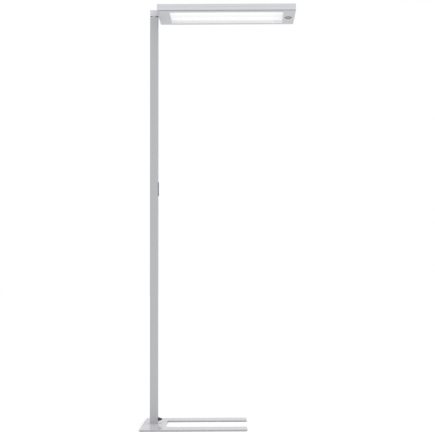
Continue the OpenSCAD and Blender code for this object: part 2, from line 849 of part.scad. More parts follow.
module rail_profile() {
    difference() {
        union() {
            translate([rail_inner, rail_bottom]) square([rail_wall, head_top - rail_bottom]);
            translate([head_half - rail_flange_w, head_top - rail_flange_t])
                square([rail_flange_w, rail_flange_t]);
            translate([rail_inner - cover_lip_w, cover_lip_bottom])
                square([cover_lip_w + rail_wall, rail_lip_t - seat_gap]);
            translate([rail_inner - rail_shelf_w, shelf_bottom])
                square([rail_shelf_w + rail_wall, rail_lip_t]);
            for (z = channel_z) translate([channel_y, z]) circle(d = channel_d);
        }
        for (z = channel_z) translate([channel_y, z]) circle(r = end_screw_d / 2 + thread_gap);
        translate([head_half - seam_depth, rail_bottom + seam_height]) square([seam_depth + cut, seam_width]);
    }
}

module side_rail(side) {
    color(white_paint) along_x(inner_x0, inner_length) mirror([side < 0 ? 1 : 0, 0]) rail_profile();
}

module top_cover() {
    half = rail_inner - seat_gap;
    color([0.9, 0.93, 0.95, 0.5]) block([inner_x0 + seat_gap, -half, cover_bottom],
                                        [inner_x1 - seat_gap, half, cover_bottom + cover_t - seat_gap]);
}

// ---- Gear and lamps ----

module gear_spine() {
    inner_half = spine_half - spine_wall;
    color(white_paint) difference() {
        block([inner_x0, -spine_half, spine_bottom], [inner_x1, spine_half, spine_top]);
        block([inner_x0 - cut, -inner_half, spine_floor], [inner_x1 + cut, inner_half, spine_top + cut]);
        ballast_screw_places(spine_bottom - cut)
            cylinder(r = ballast_screw_d / 2 + thread_gap, h = spine_wall + 2 * cut);
    }
}

module terminal_block() {
    color([0.9, 0.9, 0.88]) block([terminal_x0, -terminal_width / 2, spine_floor],
        [terminal_x0 + terminal_length, terminal_width / 2, spine_floor + terminal_height]);
}

// Places of the two screws in the ballast's tabs, at height z.
module ballast_screw_places(z) {
    inset = ballast_tab / 2;
    for (x = [ballast_x0 + inset, ballast_x0 + ballast_length - inset]) translate([x, 0, z]) children();
}

module ballast() {
    half = ballast_width / 2;
    x1 = ballast_x0 + ballast_length;
    color([0.93, 0.93, 0.93]) difference() {
        union() {
            block([ballast_x0 + ballast_tab, -half, spine_floor],
                  [x1 - ballast_tab, half, spine_floor + ballast_height]);
            block([ballast_x0, -half, spine_floor], [x1, half, spine_floor + ballast_tab_t]);
        }
        ballast_screw_places(spine_floor - cut)
            cylinder(r = ballast_screw_d / 2 + hole_gap, h = ballast_tab_t + 2 * cut);
    }
}

module ballast_screws() {
    color(steel) ballast_screw_places(spine_bottom) {
        cylinder(d = ballast_screw_d, h = spine_wall + ballast_tab_t);
        translate([0, 0, spine_wall + ballast_tab_t])
            cylinder(d = ballast_screw_head_d, h = ballast_screw_head_h);
    }
}

// Places of a lamp's four contact pins.
module pin_places(side) {
    for (y = [-1.5, -0.5, 0.5, 1.5]) translate([0, side * lamp_offset + y * pin_pitch, lamp_z]) children();
}

module lampholder(side) {
    color([0.95, 0.95, 0.94]) difference() {
        translate([0, side * lamp_offset, lamp_z]) along_x(inner_x0, holder_length)
            square([holder_width, holder_height], center = true);
        pin_places(side) axis_x(holder_x1 - pin_length - seat_gap, 0, 0)
            cylinder(r = pin_d / 2 + thread_gap, h = pin_length + seat_gap + cut);
    }
}

module lamp_base(side) {
    color([0.93, 0.93, 0.92]) {
        translate([0, side * lamp_offset, lamp_z]) along_x(holder_x1, lamp_base_length)
            rounded_rect(lamp_base_width, lamp_base_height, lamp_base_r);
        pin_places(side) axis_x(holder_x1 - pin_length, 0, 0) cylinder(d = pin_d, h = pin_length);
    }
}

module lamp_tube(side) {
    length = lamp_tip - lamp_base_x1;
    color(opal) translate([0, side * lamp_offset, lamp_z]) {
        for (s = [-1, 1]) axis_x(lamp_base_x1, s * tube_pitch / 2, 0) rotate_extrude() intersection() {
            union() {
                square([tube_r, length - tube_r]);
                translate([0, length - tube_r]) circle(r = tube_r);
            }
            square([tube_d, length + tube_d]);
        }
        translate([lamp_tip - tube_bridge_back, -tube_pitch / 2, 0]) rotate([-90, 0, 0])
            cylinder(d = tube_bridge_d, h = tube_pitch);
    }
}

// A spring clip on the spine's side wall that carries the far end of a lamp.
module lamp_clip(side) {
    base_z = lamp_z - tube_r - seat_gap - clip_t;
    outer_y = lamp_offset + lamp_half + seat_gap;
    color(steel) along_x(lamp_tip - clip_back - clip_length, clip_length)
        mirror([side < 0 ? 1 : 0, 0]) {
            translate([spine_half, base_z]) square([outer_y + clip_t - spine_half, clip_t]);
            translate([spine_half, base_z]) square([clip_t, tube_r]);
            translate([outer_y, base_z]) square([clip_t, tube_r + clip_t]);
        }
}

module reflector(side) {
    foot_out = channel_y - channel_d / 2 - seat_gap;
    foot_in = opening_width / 2 + diffuser_overlap - cut;
    top_in = lamp_offset + lamp_half + reflector_gap;
    top_z = cover_bottom - sheet_gap;
    color([0.9, 0.9, 0.92]) along_x(opening_x0, opening_length) mirror([side < 0 ? 1 : 0, 0])
        polygon([[foot_out, shelf_top], [foot_in, shelf_top], [top_in, top_z],
                 [top_in + reflector_t, top_z], [foot_in + reflector_t, shelf_top + reflector_t],
                 [foot_out, shelf_top + reflector_t]]);
}

// ---- Underside ----

module opening_block(grow, low, high) {
    block([opening_x0 - grow, -opening_width / 2 - grow, low],
          [opening_x0 + opening_length + grow, opening_width / 2 + grow, high]);
}

module bottom_tray() {
    upstand_out = head_half - groove_depth;
    color(white_paint) difference() {
        union() {
            block([inner_x0 + seat_gap, -head_half, head_bottom], [inner_x1 - seat_gap, head_half, tray_top]);
            for (side = [-1, 1]) translate([inner_x0 + seat_gap, side * (upstand_out - tray_t / 2), tray_top])
                translate([0, -tray_t / 2, 0])
                    cube([inner_length - 2 * seat_gap, tray_t, shelf_bottom - tray_top - sheet_gap]);
        }
        opening_block(frame_t + seat_gap, head_bottom - cut, diffuser_bottom + cut);
        translate([sensor_x, 0, head_bottom - cut])
            cylinder(r = sensor_barrel_d / 2 + hole_gap, h = tray_t + 2 * cut);
    }
}

module tray_clips() {
    pitch = inner_length / tray_clip_count;
    y = head_half - groove_depth - tray_t;
    color(steel) for (i = [0 : tray_clip_count - 1], side = [-1, 1])
        translate([inner_x0 + (i + 0.5) * pitch - tray_clip_length / 2, side < 0 ? -y : y - tray_t, tray_top])
            cube([tray_clip_length, tray_t, shelf_bottom - tray_top]);
}

// The white frame round the light opening: its flange lies on the tray, its top carries the diffuser.
module recess_frame() {
    color(opal) difference() {
        union() {
            opening_block(frame_t, head_bottom, diffuser_bottom);
            opening_block(frame_t + frame_flange, tray_top, tray_top + frame_t);
        }
        opening_block(0, head_bottom - cut, diffuser_bottom + cut);
    }
}

module diffuser() {
    color(opal) opening_block(diffuser_overlap, diffuser_bottom, diffuser_top);
}

module sensor_ring() {
    barrel_r = sensor_barrel_d / 2;
    color(grey_plastic) translate([sensor_x, 0, 0]) difference() {
        union() {
            translate([0, 0, head_bottom - sensor_ring_t]) cylinder(d = sensor_ring_d, h = sensor_ring_t);
            translate([0, 0, head_bottom - sensor_ring_t])
                cylinder(r = barrel_r, h = sensor_ring_t + sensor_barrel_h);
        }
        translate([0, 0, head_bottom - sensor_ring_t - cut])
            cylinder(r = barrel_r - sensor_wall, h = sensor_barrel_h + sensor_ring_t + 2 * cut);
    }
}

// A domed lens: a shell between two spheres, cut at its rim's lower face, inside the barrel.
module sensor_lens() {
    rim_r = sensor_barrel_d / 2 - sensor_wall - seat_gap;
    dome_r = (rim_r * rim_r + lens_bulge * lens_bulge) / (2 * lens_bulge);
    rim_z = head_bottom - sensor_ring_t + lens_recess;
    color([0.9, 0.9, 0.9]) translate([sensor_x, 0, rim_z]) rotate_extrude() intersection() {
        union() {
            difference() {
                translate([0, dome_r - lens_bulge]) circle(r = dome_r, $fn = 128);
                translate([0, dome_r - lens_bulge]) circle(r = dome_r - lens_t, $fn = 128);
                translate([-cut, 0]) square([dome_r * 2, dome_r * 2]);
            }
            translate([rim_r - lens_t, 0]) square([lens_t, lens_rim_h]);
        }
        translate([0, -lens_bulge - cut]) square([rim_r, lens_bulge + lens_rim_h + cut]);
    }
}

module sensor_board() {
    board_r = sensor_barrel_d / 2 - sensor_wall - seat_gap;
    board_z = head_bottom + sensor_barrel_h - board_t;
    color(board_green) translate([sensor_x, 0, board_z]) {
        cylinder(r = board_r, h = board_t);
        translate([0, 0, -detector_h]) cylinder(d = detector_d, h = detector_h);
    }
}

base_plate();
glides();
centre_pad();
base_screws();
foot_block();
pole_tube();
cable_gland();
gland_nut();
pole_lead();
switch_housing();
switch_board();
tact_switches();
key(1);  // key_up
key(-1);  // key_down
pole_plug();
plug_screws();
swivel_bush();
thrust_washer();
stop_pin();
pole_cap();
cap_lid();
swivel_spindle();
spring_washer();
spindle_nut();
arm_screws();
arm_bracket();
end_plate(-1);  // end_plate_inner
end_plate(1);  // end_plate_outer
end_screws();
side_rail(-1);  // side_rail_front
side_rail(1);  // side_rail_rear
top_cover();
gear_spine();
terminal_block();
ballast();
ballast_screws();
head_lead();
lampholder(-1);  // lampholder_front
lampholder(1);  // lampholder_rear
lamp_base(-1);  // lamp_base_front
lamp_base(1);  // lamp_base_rear
lamp_tube(-1);  // lamp_tube_front
lamp_tube(1);  // lamp_tube_rear
lamp_clip(-1);  // lamp_clip_front
lamp_clip(1);  // lamp_clip_rear
reflector(-1);  // reflector_front
reflector(1);  // reflector_rear
bottom_tray();
tray_clips();
recess_frame();
diffuser();
sensor_ring();
sensor_lens();
sensor_board();
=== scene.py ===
"""Office floor lamp: finishes and fine pieces round the fixed frame of its solids.

A U-shaped plate carries a square pole, and a flat head with two twin-tube lamps swivels on the pole.
Metres throughout. The pole's axis is x = y = 0, the floor is z = 0, and +X runs along legs and head.
"""
import json
import math

import bmesh
import bpy
import numpy as np
from bpy.props import FloatProperty, FloatVectorProperty, IntProperty, PointerProperty
from mathutils import Euler, Matrix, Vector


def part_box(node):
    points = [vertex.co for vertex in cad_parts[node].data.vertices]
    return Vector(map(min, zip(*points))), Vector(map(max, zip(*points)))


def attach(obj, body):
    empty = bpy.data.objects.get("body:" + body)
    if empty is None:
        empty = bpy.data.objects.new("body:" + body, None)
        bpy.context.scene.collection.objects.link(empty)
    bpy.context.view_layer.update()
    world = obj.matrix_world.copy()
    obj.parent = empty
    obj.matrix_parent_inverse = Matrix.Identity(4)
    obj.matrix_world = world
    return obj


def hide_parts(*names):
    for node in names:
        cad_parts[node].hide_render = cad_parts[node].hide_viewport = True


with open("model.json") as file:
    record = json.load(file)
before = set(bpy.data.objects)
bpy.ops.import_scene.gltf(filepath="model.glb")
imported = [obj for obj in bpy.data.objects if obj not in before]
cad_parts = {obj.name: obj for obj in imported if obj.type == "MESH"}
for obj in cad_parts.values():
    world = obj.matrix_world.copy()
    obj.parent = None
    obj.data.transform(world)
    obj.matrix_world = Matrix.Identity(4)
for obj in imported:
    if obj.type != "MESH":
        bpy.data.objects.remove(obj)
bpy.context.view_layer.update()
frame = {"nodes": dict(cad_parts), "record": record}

bl_info = {
    "name": "Office floor lamp",
    "version": (1, 0, 0),
    "blender": (4, 5, 0),
    "location": "3D View > Sidebar > Floor lamp",
    "description": "Finishes and fine pieces of a swivelling office floor lamp",
    "category": "Object",
}

MM = 0.001
POLE_CORNER = 2.5 * MM        # outer corner radius of the square pole
BRIDGE_BACK = 16 * MM         # from a lamp's tip back to the bridge between its tubes
TAB = 10 * MM                 # length of the ballast's two tabs
STRIP = 4 * MM                # how far the ballast's connector strips stand out over the tabs
CAP_HEIGHT = 28.5 * MM        # from the cap's square underside up to its top
LENS_RIM = 2 * MM             # height of the rim of the sensor's lens
EDGE_STEPS = 3                # faces across a rounded edge
BODY_OF = {
    node: body
    for body, nodes in frame["record"]["behaviour"]["bodies"].items()
    for node in nodes
}
SLOT_OF = {part["node"]: part["material_slot"] for part in frame["record"]["subparts"]}


def box(node):
    """Lowest and highest corner of a node, as two arrays."""
    low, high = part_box(node)
    return np.array(low), np.array(high)


# ---- What a user would change ----


def colour(name, description, default):
    """A colour that a user can pick."""
    return FloatVectorProperty(
        name=name, description=description, default=default, subtype="COLOR", size=3, min=0, max=1
    )


def length(name, description, default):
    """A length in metres."""
    return FloatProperty(
        name=name, description=description, default=default, min=0, unit="LENGTH", precision=5
    )


def share(name, description, default, top=1.0):
    """A plain number from 0 to top."""
    return FloatProperty(name=name, description=description, default=default, min=0, max=top)


class LampFinishes(bpy.types.PropertyGroup):
    white_coat: colour("White coat", "Powder coat of cap and head", (0.53, 0.535, 0.56))
    plate_coat: colour("Plate coat", "Glossier coat of the base plate", (0.43, 0.43, 0.45))
    # painted shade: the tray coat is the white coat made darker for the head's underside, which faces down
    tray_shade_coat: colour("Tray coat", "Coat of the head's underside", (0.435, 0.445, 0.475))
    pole_coat: colour("Pole coat", "Satin coat of the pole", (0.395, 0.40, 0.412))
    inner_coat: colour("Inner coat", "White enamel of the parts inside the head", (0.50, 0.51, 0.515))
    white_plastic: colour("White plastic", "Lampholders, lamp bases, terminals", (0.60, 0.60, 0.575))
    frame_plastic: colour("Frame plastic", "Frame round the light opening", (0.86, 0.87, 0.87))
    grey_plastic: colour("Grey plastic", "Switch panel and connector strips", (0.062, 0.064, 0.072))
    ring_plastic: colour("Ring plastic", "Ring of the presence sensor", (0.16, 0.162, 0.17))
    key_plastic: colour("Key plastic", "The two push keys", (0.11, 0.113, 0.124))
    black_plastic: colour("Black plastic", "Cable gland and washer", (0.042, 0.042, 0.044))
    steel: colour("Zinc-plated steel", "Screws, clips and bracket", (0.55, 0.56, 0.58))
    collar: colour("Collar metal", "Turned collar under the cap", (0.62, 0.63, 0.65))
    glow: colour("Glow", "Light of the lamps behind the opal sheet", (1.0, 1.0, 0.985))
    wire_colours: FloatVectorProperty(
        name="Lamp wires", description="Light and dark insulation of the lamps' wires, as two greys",
        default=(0.52, 0.10), size=2, min=0, max=1,
    )
    coat_roughness: share("Coat roughness", "Roughness of the powder coat", 0.36)
    plate_roughness: share("Plate roughness", "Roughness of the base plate's smoother coat", 0.13)
    pole_roughness: share("Pole roughness", "Roughness of the pole's satin coat", 0.34)
    diffuser_glow: share("Diffuser glow", "Brightness of the opal sheet below the lamps", 0.44, 5)
    lamp_glow: share("Lamp glow", "Brightness of the lamps' glass", 0.40, 5)


class LampDetails(bpy.types.PropertyGroup):
    plate_edge: length("Plate edge", "Rounding of the base plate's edges", 0.9 * MM)
    coat_edge: length("Coated edge", "Rounding of coated sheet edges", 0.5 * MM)
    weld_leg: length("Weld leg", "Leg of the fillet round the pole's foot", 1.6 * MM)
    wire: length("Wire", "Diameter of a single insulated wire", 1.5 * MM)
    wire_pitch: length("Wire pitch", "Distance between wires that lie side by side", 1.75 * MM)
    gland_rings: IntProperty(
        name="Gland rings", description="Flex grooves in the gland", default=6, min=2, max=10,
    )
    mark_height: length("Mark height", "Relief of the marks on the keys", 0.25 * MM)
    glow_width: length("Glow width", "Half width of the bright band below a lamp", 26 * MM)


class LampStudio(bpy.types.PropertyGroup):
    camera_place: FloatVectorProperty(
        name="Camera place", description="Where the camera stands", subtype="TRANSLATION",
        default=(0.3834, -4.1856, 0.6767),
    )
    camera_tilt: FloatProperty(
        name="Tilt", description="Tilt upwards", default=0.05722, subtype="ANGLE",
    )
    camera_roll: FloatProperty(
        name="Roll", description="Roll to the left", default=-0.00457, subtype="ANGLE",
    )
    camera_lens: FloatProperty(
        name="Lens", description="Focal length in millimetres", default=74.483, unit="CAMERA",
    )
    camera_shift: FloatVectorProperty(
        name="Shift", description="Shift of the frame to the right and upwards, as shares of its width",
        default=(-0.0438, 0.0197), size=2,
    )
    floor_size: length("Floor", "Side of the square floor", 60.0)
    sky_level: share("Sky", "Brightness of the white surroundings", 1.0, 5)
    key_level: share("Key light", "Strength of the soft light from above", 1.25, 20)


def finishes():
    """The colours and finishes set in the sidebar."""
    return bpy.context.scene.lamp_finishes


def details():
    """The small sizes set in the sidebar."""
    return bpy.context.scene.lamp_details


# ---- Shapes: points and faces worked out as whole arrays ----


def lattice(points, wrap_rows=False, wrap_columns=False, caps=False):
    """Faces over a grid of points: each face joins point (i, j) with its neighbours (i + 1, j),
    (i + 1, j + 1) and (i, j + 1). Wrapping joins the last row or column to the first, and caps
    close the first and the last row with one face each."""
    rows, columns = points.shape[:2]
    index = np.arange(rows * columns).reshape(rows, columns)
    if wrap_rows:
        index = np.vstack([index, index[:1]])
    if wrap_columns:
        index = np.hstack([index, index[:, :1]])
    quads = np.stack([index[:-1, :-1], index[:-1, 1:], index[1:, 1:], index[1:, :-1]], axis=-1)
    faces = quads.reshape(-1, 4).tolist()
    if caps:
        faces.append(np.arange(columns)[::-1].tolist())
        faces.append((np.arange(columns) + (rows - 1) * columns).tolist())
    return points.reshape(-1, 3), faces


def revolved(profile, centre, axis="Z", count=48, closed=False):
    """Surface of revolution: a profile of (distance along the axis, radius) turned through u, so that
    a point is centre + along * axis + radius * (cos u, sin u) across it."""
    profile = np.asarray(profile, float)
    angle = np.linspace(0, 2 * math.pi, count, endpoint=False)
    along = np.repeat(profile[:, :1], count, axis=1)
    first, second = profile[:, 1:] * np.cos(angle), profile[:, 1:] * np.sin(angle)
    order = {"Z": (first, second, along), "X": (along, first, second), "Y": (second, along, first)}
    points = np.stack(order[axis], axis=-1) + np.asarray(centre, float)
    return lattice(points, wrap_rows=closed, wrap_columns=True)


def rounded_block(low, high, radius):
    """Box with rounded edges: for a direction n on the unit sphere the point is
    centre + sign(n) * (half size - radius) + radius * n, with both sides of each change of sign."""
    low, high = np.asarray(low, float), np.asarray(high, float)
    centre, half = (low + high) / 2, (high - low) / 2
    radius = min(radius, half.min() * 0.98)
    count = EDGE_STEPS + 1
    quarter = np.linspace(0, math.pi / 2, count)
    around = np.concatenate([quarter + k * math.pi / 2 for k in range(4)])
    signs = np.repeat([[1, 1], [-1, 1], [-1, -1], [1, -1]], count, axis=0)
    up = np.concatenate([quarter - math.pi / 2, quarter])
    sign_up = np.repeat([-1.0, 1.0], count)
    normal = np.stack([
        np.cos(up)[:, None] * np.cos(around), np.cos(up)[:, None] * np.sin(around),
        np.repeat(np.sin(up)[:, None], len(around), axis=1),
    ], axis=-1)
    sign = np.stack([
        np.tile(signs[:, 0], (len(up), 1)), np.tile(signs[:, 1], (len(up), 1)),
        np.repeat(sign_up[:, None], len(around), axis=1),
    ], axis=-1)
    points = centre + sign * (half - radius) + radius * normal
    return lattice(points, wrap_columns=True, caps=True)


def rounded_outline(width, depth, radius, steps=6):
    """Outline of a rectangle with round corners, counter-clockwise: the point is
    corner + radius * (cos u, sin u), with u turning by a quarter at each corner."""
    quarter = np.linspace(0, math.pi / 2, steps + 1)
    corners = np.array([[1, 1], [-1, 1], [-1, -1], [1, -1]]) * (np.array([width, depth]) / 2 - radius)
    turns = quarter[None, :] + np.arange(4)[:, None] * math.pi / 2
    return (corners[:, None, :] + radius * np.stack([np.cos(turns), np.sin(turns)], -1)).reshape(-1, 2)


def unit(vectors):
    """Each vector divided by its length, and a vector of no length left at nothing."""
    nearly_nothing = 1e-12
    return vectors / np.maximum(np.linalg.norm(vectors, axis=1, keepdims=True), nearly_nothing)


def outward(outline):
    """Unit normals of a closed counter-clockwise outline, halfway between neighbouring sides."""
    side = unit(np.roll(outline, -1, axis=0) - outline)
    tangent = unit(side + np.roll(side, 1, axis=0))
    return np.stack([tangent[:, 1], -tangent[:, 0]], axis=-1)


def carried(profile, outline, axis="Z"):
    """Points of a profile of (offset outwards, height along an axis) carried along a flat outline:
    outline + offset * normal."""
    profile = np.asarray(profile, float)
    flat = outline[None] + profile[:, None, :1] * outward(outline)[None]
    height = np.repeat(profile[:, 1:], len(outline), axis=1)[..., None]
    order = {"Z": [0, 1, 2], "X": [2, 0, 1]}
    return np.concatenate([flat, height], axis=-1)[..., order[axis]]


def extruded(outline, low, high, edge=0.0):
    """A flat closed outline drawn out along X from low to high, with closed ends. Near an end, for t
    from 0 to a quarter turn, it shrinks by edge * (1 - sin t) at edge * (1 - cos t) from it."""
    t = np.linspace(0, math.pi / 2, EDGE_STEPS + 1)
    start = np.stack([edge * (np.sin(t) - 1), low + edge * (1 - np.cos(t))], -1)
    profile = np.vstack([start, start[::-1] * [1, -1] + [0, low + high]])
    return lattice(carried(profile, np.asarray(outline, float), "X"), wrap_columns=True, caps=True)


def smooth_path(points, count):
    """Catmull-Rom curve of count points through the given ones: on each span a cubic in t that leaves
    along the chord between the neighbours on either side."""
    knots = np.asarray(points, float)
    knots = np.vstack([2 * knots[0] - knots[1], knots, 2 * knots[-1] - knots[-2]])
    t = np.linspace(0, len(points) - 1, count)
    span = np.minimum(t.astype(int), len(points) - 2)
    t = (t - span)[:, None]
    a, b, c, d = (knots[span + k] for k in range(4))
    return 0.5 * (2 * b + (c - a) * t + (2 * a - 5 * b + 4 * c - d) * t**2 + (3 * b - a - 3 * c + d) * t**3)


def tube(path, radius, sides=10):
    """A round tube along a path: path + radius * (cos u * side + sin u * rise). From one point to the
    next, side loses its part along the path, so the tube doesn't twist, and rise is square to both."""
    tangent = unit(np.gradient(path, axis=0))
    side = np.cross(tangent[0], (0, 1, 0))
    frames = []
    for along in tangent:
        side = side - (side @ along) * along
        side /= np.linalg.norm(side)
        frames.append([side, np.cross(side, along)])
    side, rise = np.swapaxes(np.array(frames), 0, 1)
    angle = np.linspace(0, 2 * math.pi, sides, endpoint=False)[None, :, None]
    points = path[:, None] + radius * (np.cos(angle) * side[:, None] + np.sin(angle) * rise[:, None])
    return lattice(points, wrap_columns=True, caps=True)


def wire_inlets():
    """Places along X where the four wires enter a lampholder's outer side."""
    low, high = box("lampholder_rear")
    return low[0] + (high[0] - low[0]) * np.array([0.18, 0.36, 0.54, 0.72])


def pole_places():
    """The terminal block's three poles, along Y."""
    return (-7 * MM, 0.0, 7 * MM)


def mains_inlets():
    """Inlets of the ballast's near strip for the three mains wires, as (y, z)."""
    z = box("ballast")[0][2] + 10 * MM
    return [(y * MM, z) for y in (-5.2, 0.0, 5.2)]


def lamp_inlets():
    """Inlets of the ballast's far strip for the lamps' wires, as (y, z): four each for rear and front."""
    z = box("ballast")[0][2] + 11.6 * MM
    return [(way * (1.4 + 2.6 * k) * MM, z) for way in (1, -1) for k in range(4)]


def sensor_inlets():
    """Inlets of the ballast's far strip for the sensor's three wires, as (y, z)."""
    z = box("ballast")[0][2] + 7.8 * MM
    return [(y * MM, z) for y in (-2.6, 0.0, 2.6)]


def grommet_places():
    """Centre and radius of each grommet in the spine's floor: rear lamp, front lamp, sensor."""
    between = (box("arm_bracket")[1][0] + box("terminal_block")[0][0]) / 2
    sensor = box("sensor_board")[0][0] - 4 * MM
    return ((between, 12 * MM, 3.6 * MM), (between, -12 * MM, 3.6 * MM), (sensor, 0.0, 4 * MM))


def screw_head(centre, radius, height, drive, depth):
    """Round screw head with a hexagonal socket, upright on its centre. At angle u a flat of the hexagon
    lies at drive / cos(u - nearest sixth of a turn), and the head's rim is a quarter circle."""
    u = np.linspace(0, 2 * math.pi, 48, endpoint=False)
    sixth = math.pi / 3
    hexagon = drive / np.cos((u + sixth / 2) % sixth - sixth / 2)
    circle = np.ones(len(u))
    rim = height * 0.4
    chamfer = drive * 0.1
    floor = height - depth
    rows = [
        (0 * circle, floor), (hexagon, floor), (hexagon, height - chamfer), (hexagon + chamfer, height),
    ]
    for a in np.linspace(0, math.pi / 2, 5):
        rows.append(((radius - rim * (1 - math.sin(a))) * circle, height - rim * (1 - math.cos(a))))
    rows += [(radius * circle, 0.0), (0 * circle, 0.0)]
    out = np.array([row[0] for row in rows])
    up = np.repeat(np.array([row[1] for row in rows])[:, None], len(u), axis=1)
    points = np.stack([out * np.cos(u), out * np.sin(u), up], -1) + np.asarray(centre, float)
    return lattice(points, wrap_columns=True)


def ring(centre, outer, inner, height, axis="Z"):
    """Flat ring that stands on a plane square to an axis and rises along it by height, or against it
    where height is negative. Its upper rims are quarter circles, of 0.3 times the lesser of height
    and width."""
    r = min(abs(height), outer - inner) * 0.3 * np.sign(height)
    a = np.linspace(0, math.pi / 2, 4)
    outside = np.stack([height - r * (1 - np.sin(a)), outer - abs(r) * (1 - np.cos(a))], -1)
    inside = np.stack([height - r * (1 - np.cos(a)), inner + abs(r) * (1 - np.sin(a))], -1)
    profile = np.vstack([[[0, inner], [0, outer]], outside, inside])
    return revolved(profile, centre, axis, count=28, closed=True)


# ---- Pieces ----


def settle(obj, body, material, replaces=()):
    """Gives a piece its material and body, and hides the nodes that it stands for."""
    obj.data.materials.clear()
    obj.data.materials.append(material)
    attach(obj, body)
    if replaces:
        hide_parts(*replaces)
    return obj


def piece(name, shells, body, material, replaces=(), crease=40):
    """One object of several shells. Equal points are merged, which closes poles and seams, and each
    shell's faces are turned outwards. Edges that turn by more than crease degrees stay sharp."""
    points = np.vstack([shell[0] for shell in shells])
    starts = np.cumsum([0] + [len(shell[0]) for shell in shells[:-1]])
    faces = [[int(i + start) for i in face] for shell, start in zip(shells, starts) for face in shell[1]]
    mesh = bpy.data.meshes.new(name)
    mesh.from_pydata(points.tolist(), [], faces)
    tool = bmesh.new()
    tool.from_mesh(mesh)
    bmesh.ops.remove_doubles(tool, verts=tool.verts, dist=0.001 * MM)
    bmesh.ops.dissolve_degenerate(tool, edges=tool.edges, dist=0.0001 * MM)
    bmesh.ops.recalc_face_normals(tool, faces=tool.faces)
    tool.to_mesh(mesh)
    tool.free()
    mesh.shade_smooth()
    mesh.set_sharp_from_angle(angle=math.radians(crease))
    obj = bpy.data.objects.new(name, mesh)
    bpy.context.scene.collection.objects.link(obj)
    return settle(obj, body, material, replaces)


def softened(node, material, edge, clamp=True):
    """A copy of a node with its doubles merged and its flat faces joined, whose edges are rounded by
    a Bevel modifier and whose flat faces stay flat by area-weighted normals."""
    flat, turn = math.radians(0.4), math.radians(32)
    mesh = frame["nodes"][node].data.copy()
    mesh.name = node + "_finish"
    if mesh.has_custom_normals:
        mesh.attributes.remove(mesh.attributes["custom_normal"])
    tool = bmesh.new()
    tool.from_mesh(mesh)
    bmesh.ops.remove_doubles(tool, verts=tool.verts, dist=0.002 * MM)
    bmesh.ops.dissolve_limit(tool, angle_limit=flat, verts=tool.verts, edges=tool.edges)
    bmesh.ops.recalc_face_normals(tool, faces=tool.faces)
    tool.to_mesh(mesh)
    tool.free()
    mesh.shade_smooth()
    obj = bpy.data.objects.new(mesh.name, mesh)
    bpy.context.scene.collection.objects.link(obj)
    bevel = obj.modifiers.new("rounded edges", "BEVEL")
    bevel.width = edge
    bevel.segments = EDGE_STEPS
    bevel.limit_method = "ANGLE"
    bevel.angle_limit = turn
    bevel.use_clamp_overlap = clamp
    weighted = obj.modifiers.new("flat faces", "WEIGHTED_NORMAL")
    weighted.mode = "FACE_AREA"
    weighted.weight = 60
    weighted.keep_sharp = True
    return settle(obj, BODY_OF[node], material, (node,))


# ---- Shader maths ----


class Number:
    """A number that varies over a surface. Sums, products and powers add Math nodes."""

    def __init__(self, finish, socket):
        self.finish, self.socket = finish, socket

    def combine(self, operation, *values):
        """Adds one Math node on the values."""
        return self.finish.node("ShaderNodeMath", {"operation": operation}, dict(enumerate(values)))

    def __add__(self, other):
        return self.combine("ADD", self, other)

    def __sub__(self, other):
        return self.combine("SUBTRACT", self, other)

    def __rsub__(self, other):
        return self.combine("SUBTRACT", other, self)

    def __mul__(self, other):
        return self.combine("MULTIPLY", self, other)

    def __truediv__(self, other):
        return self.combine("DIVIDE", self, other)

    def __rtruediv__(self, other):
        return self.combine("DIVIDE", other, self)

    def __pow__(self, other):
        return self.combine("POWER", self, other)

    def __rpow__(self, other):
        return self.combine("POWER", other, self)

    __radd__, __rmul__ = __add__, __mul__


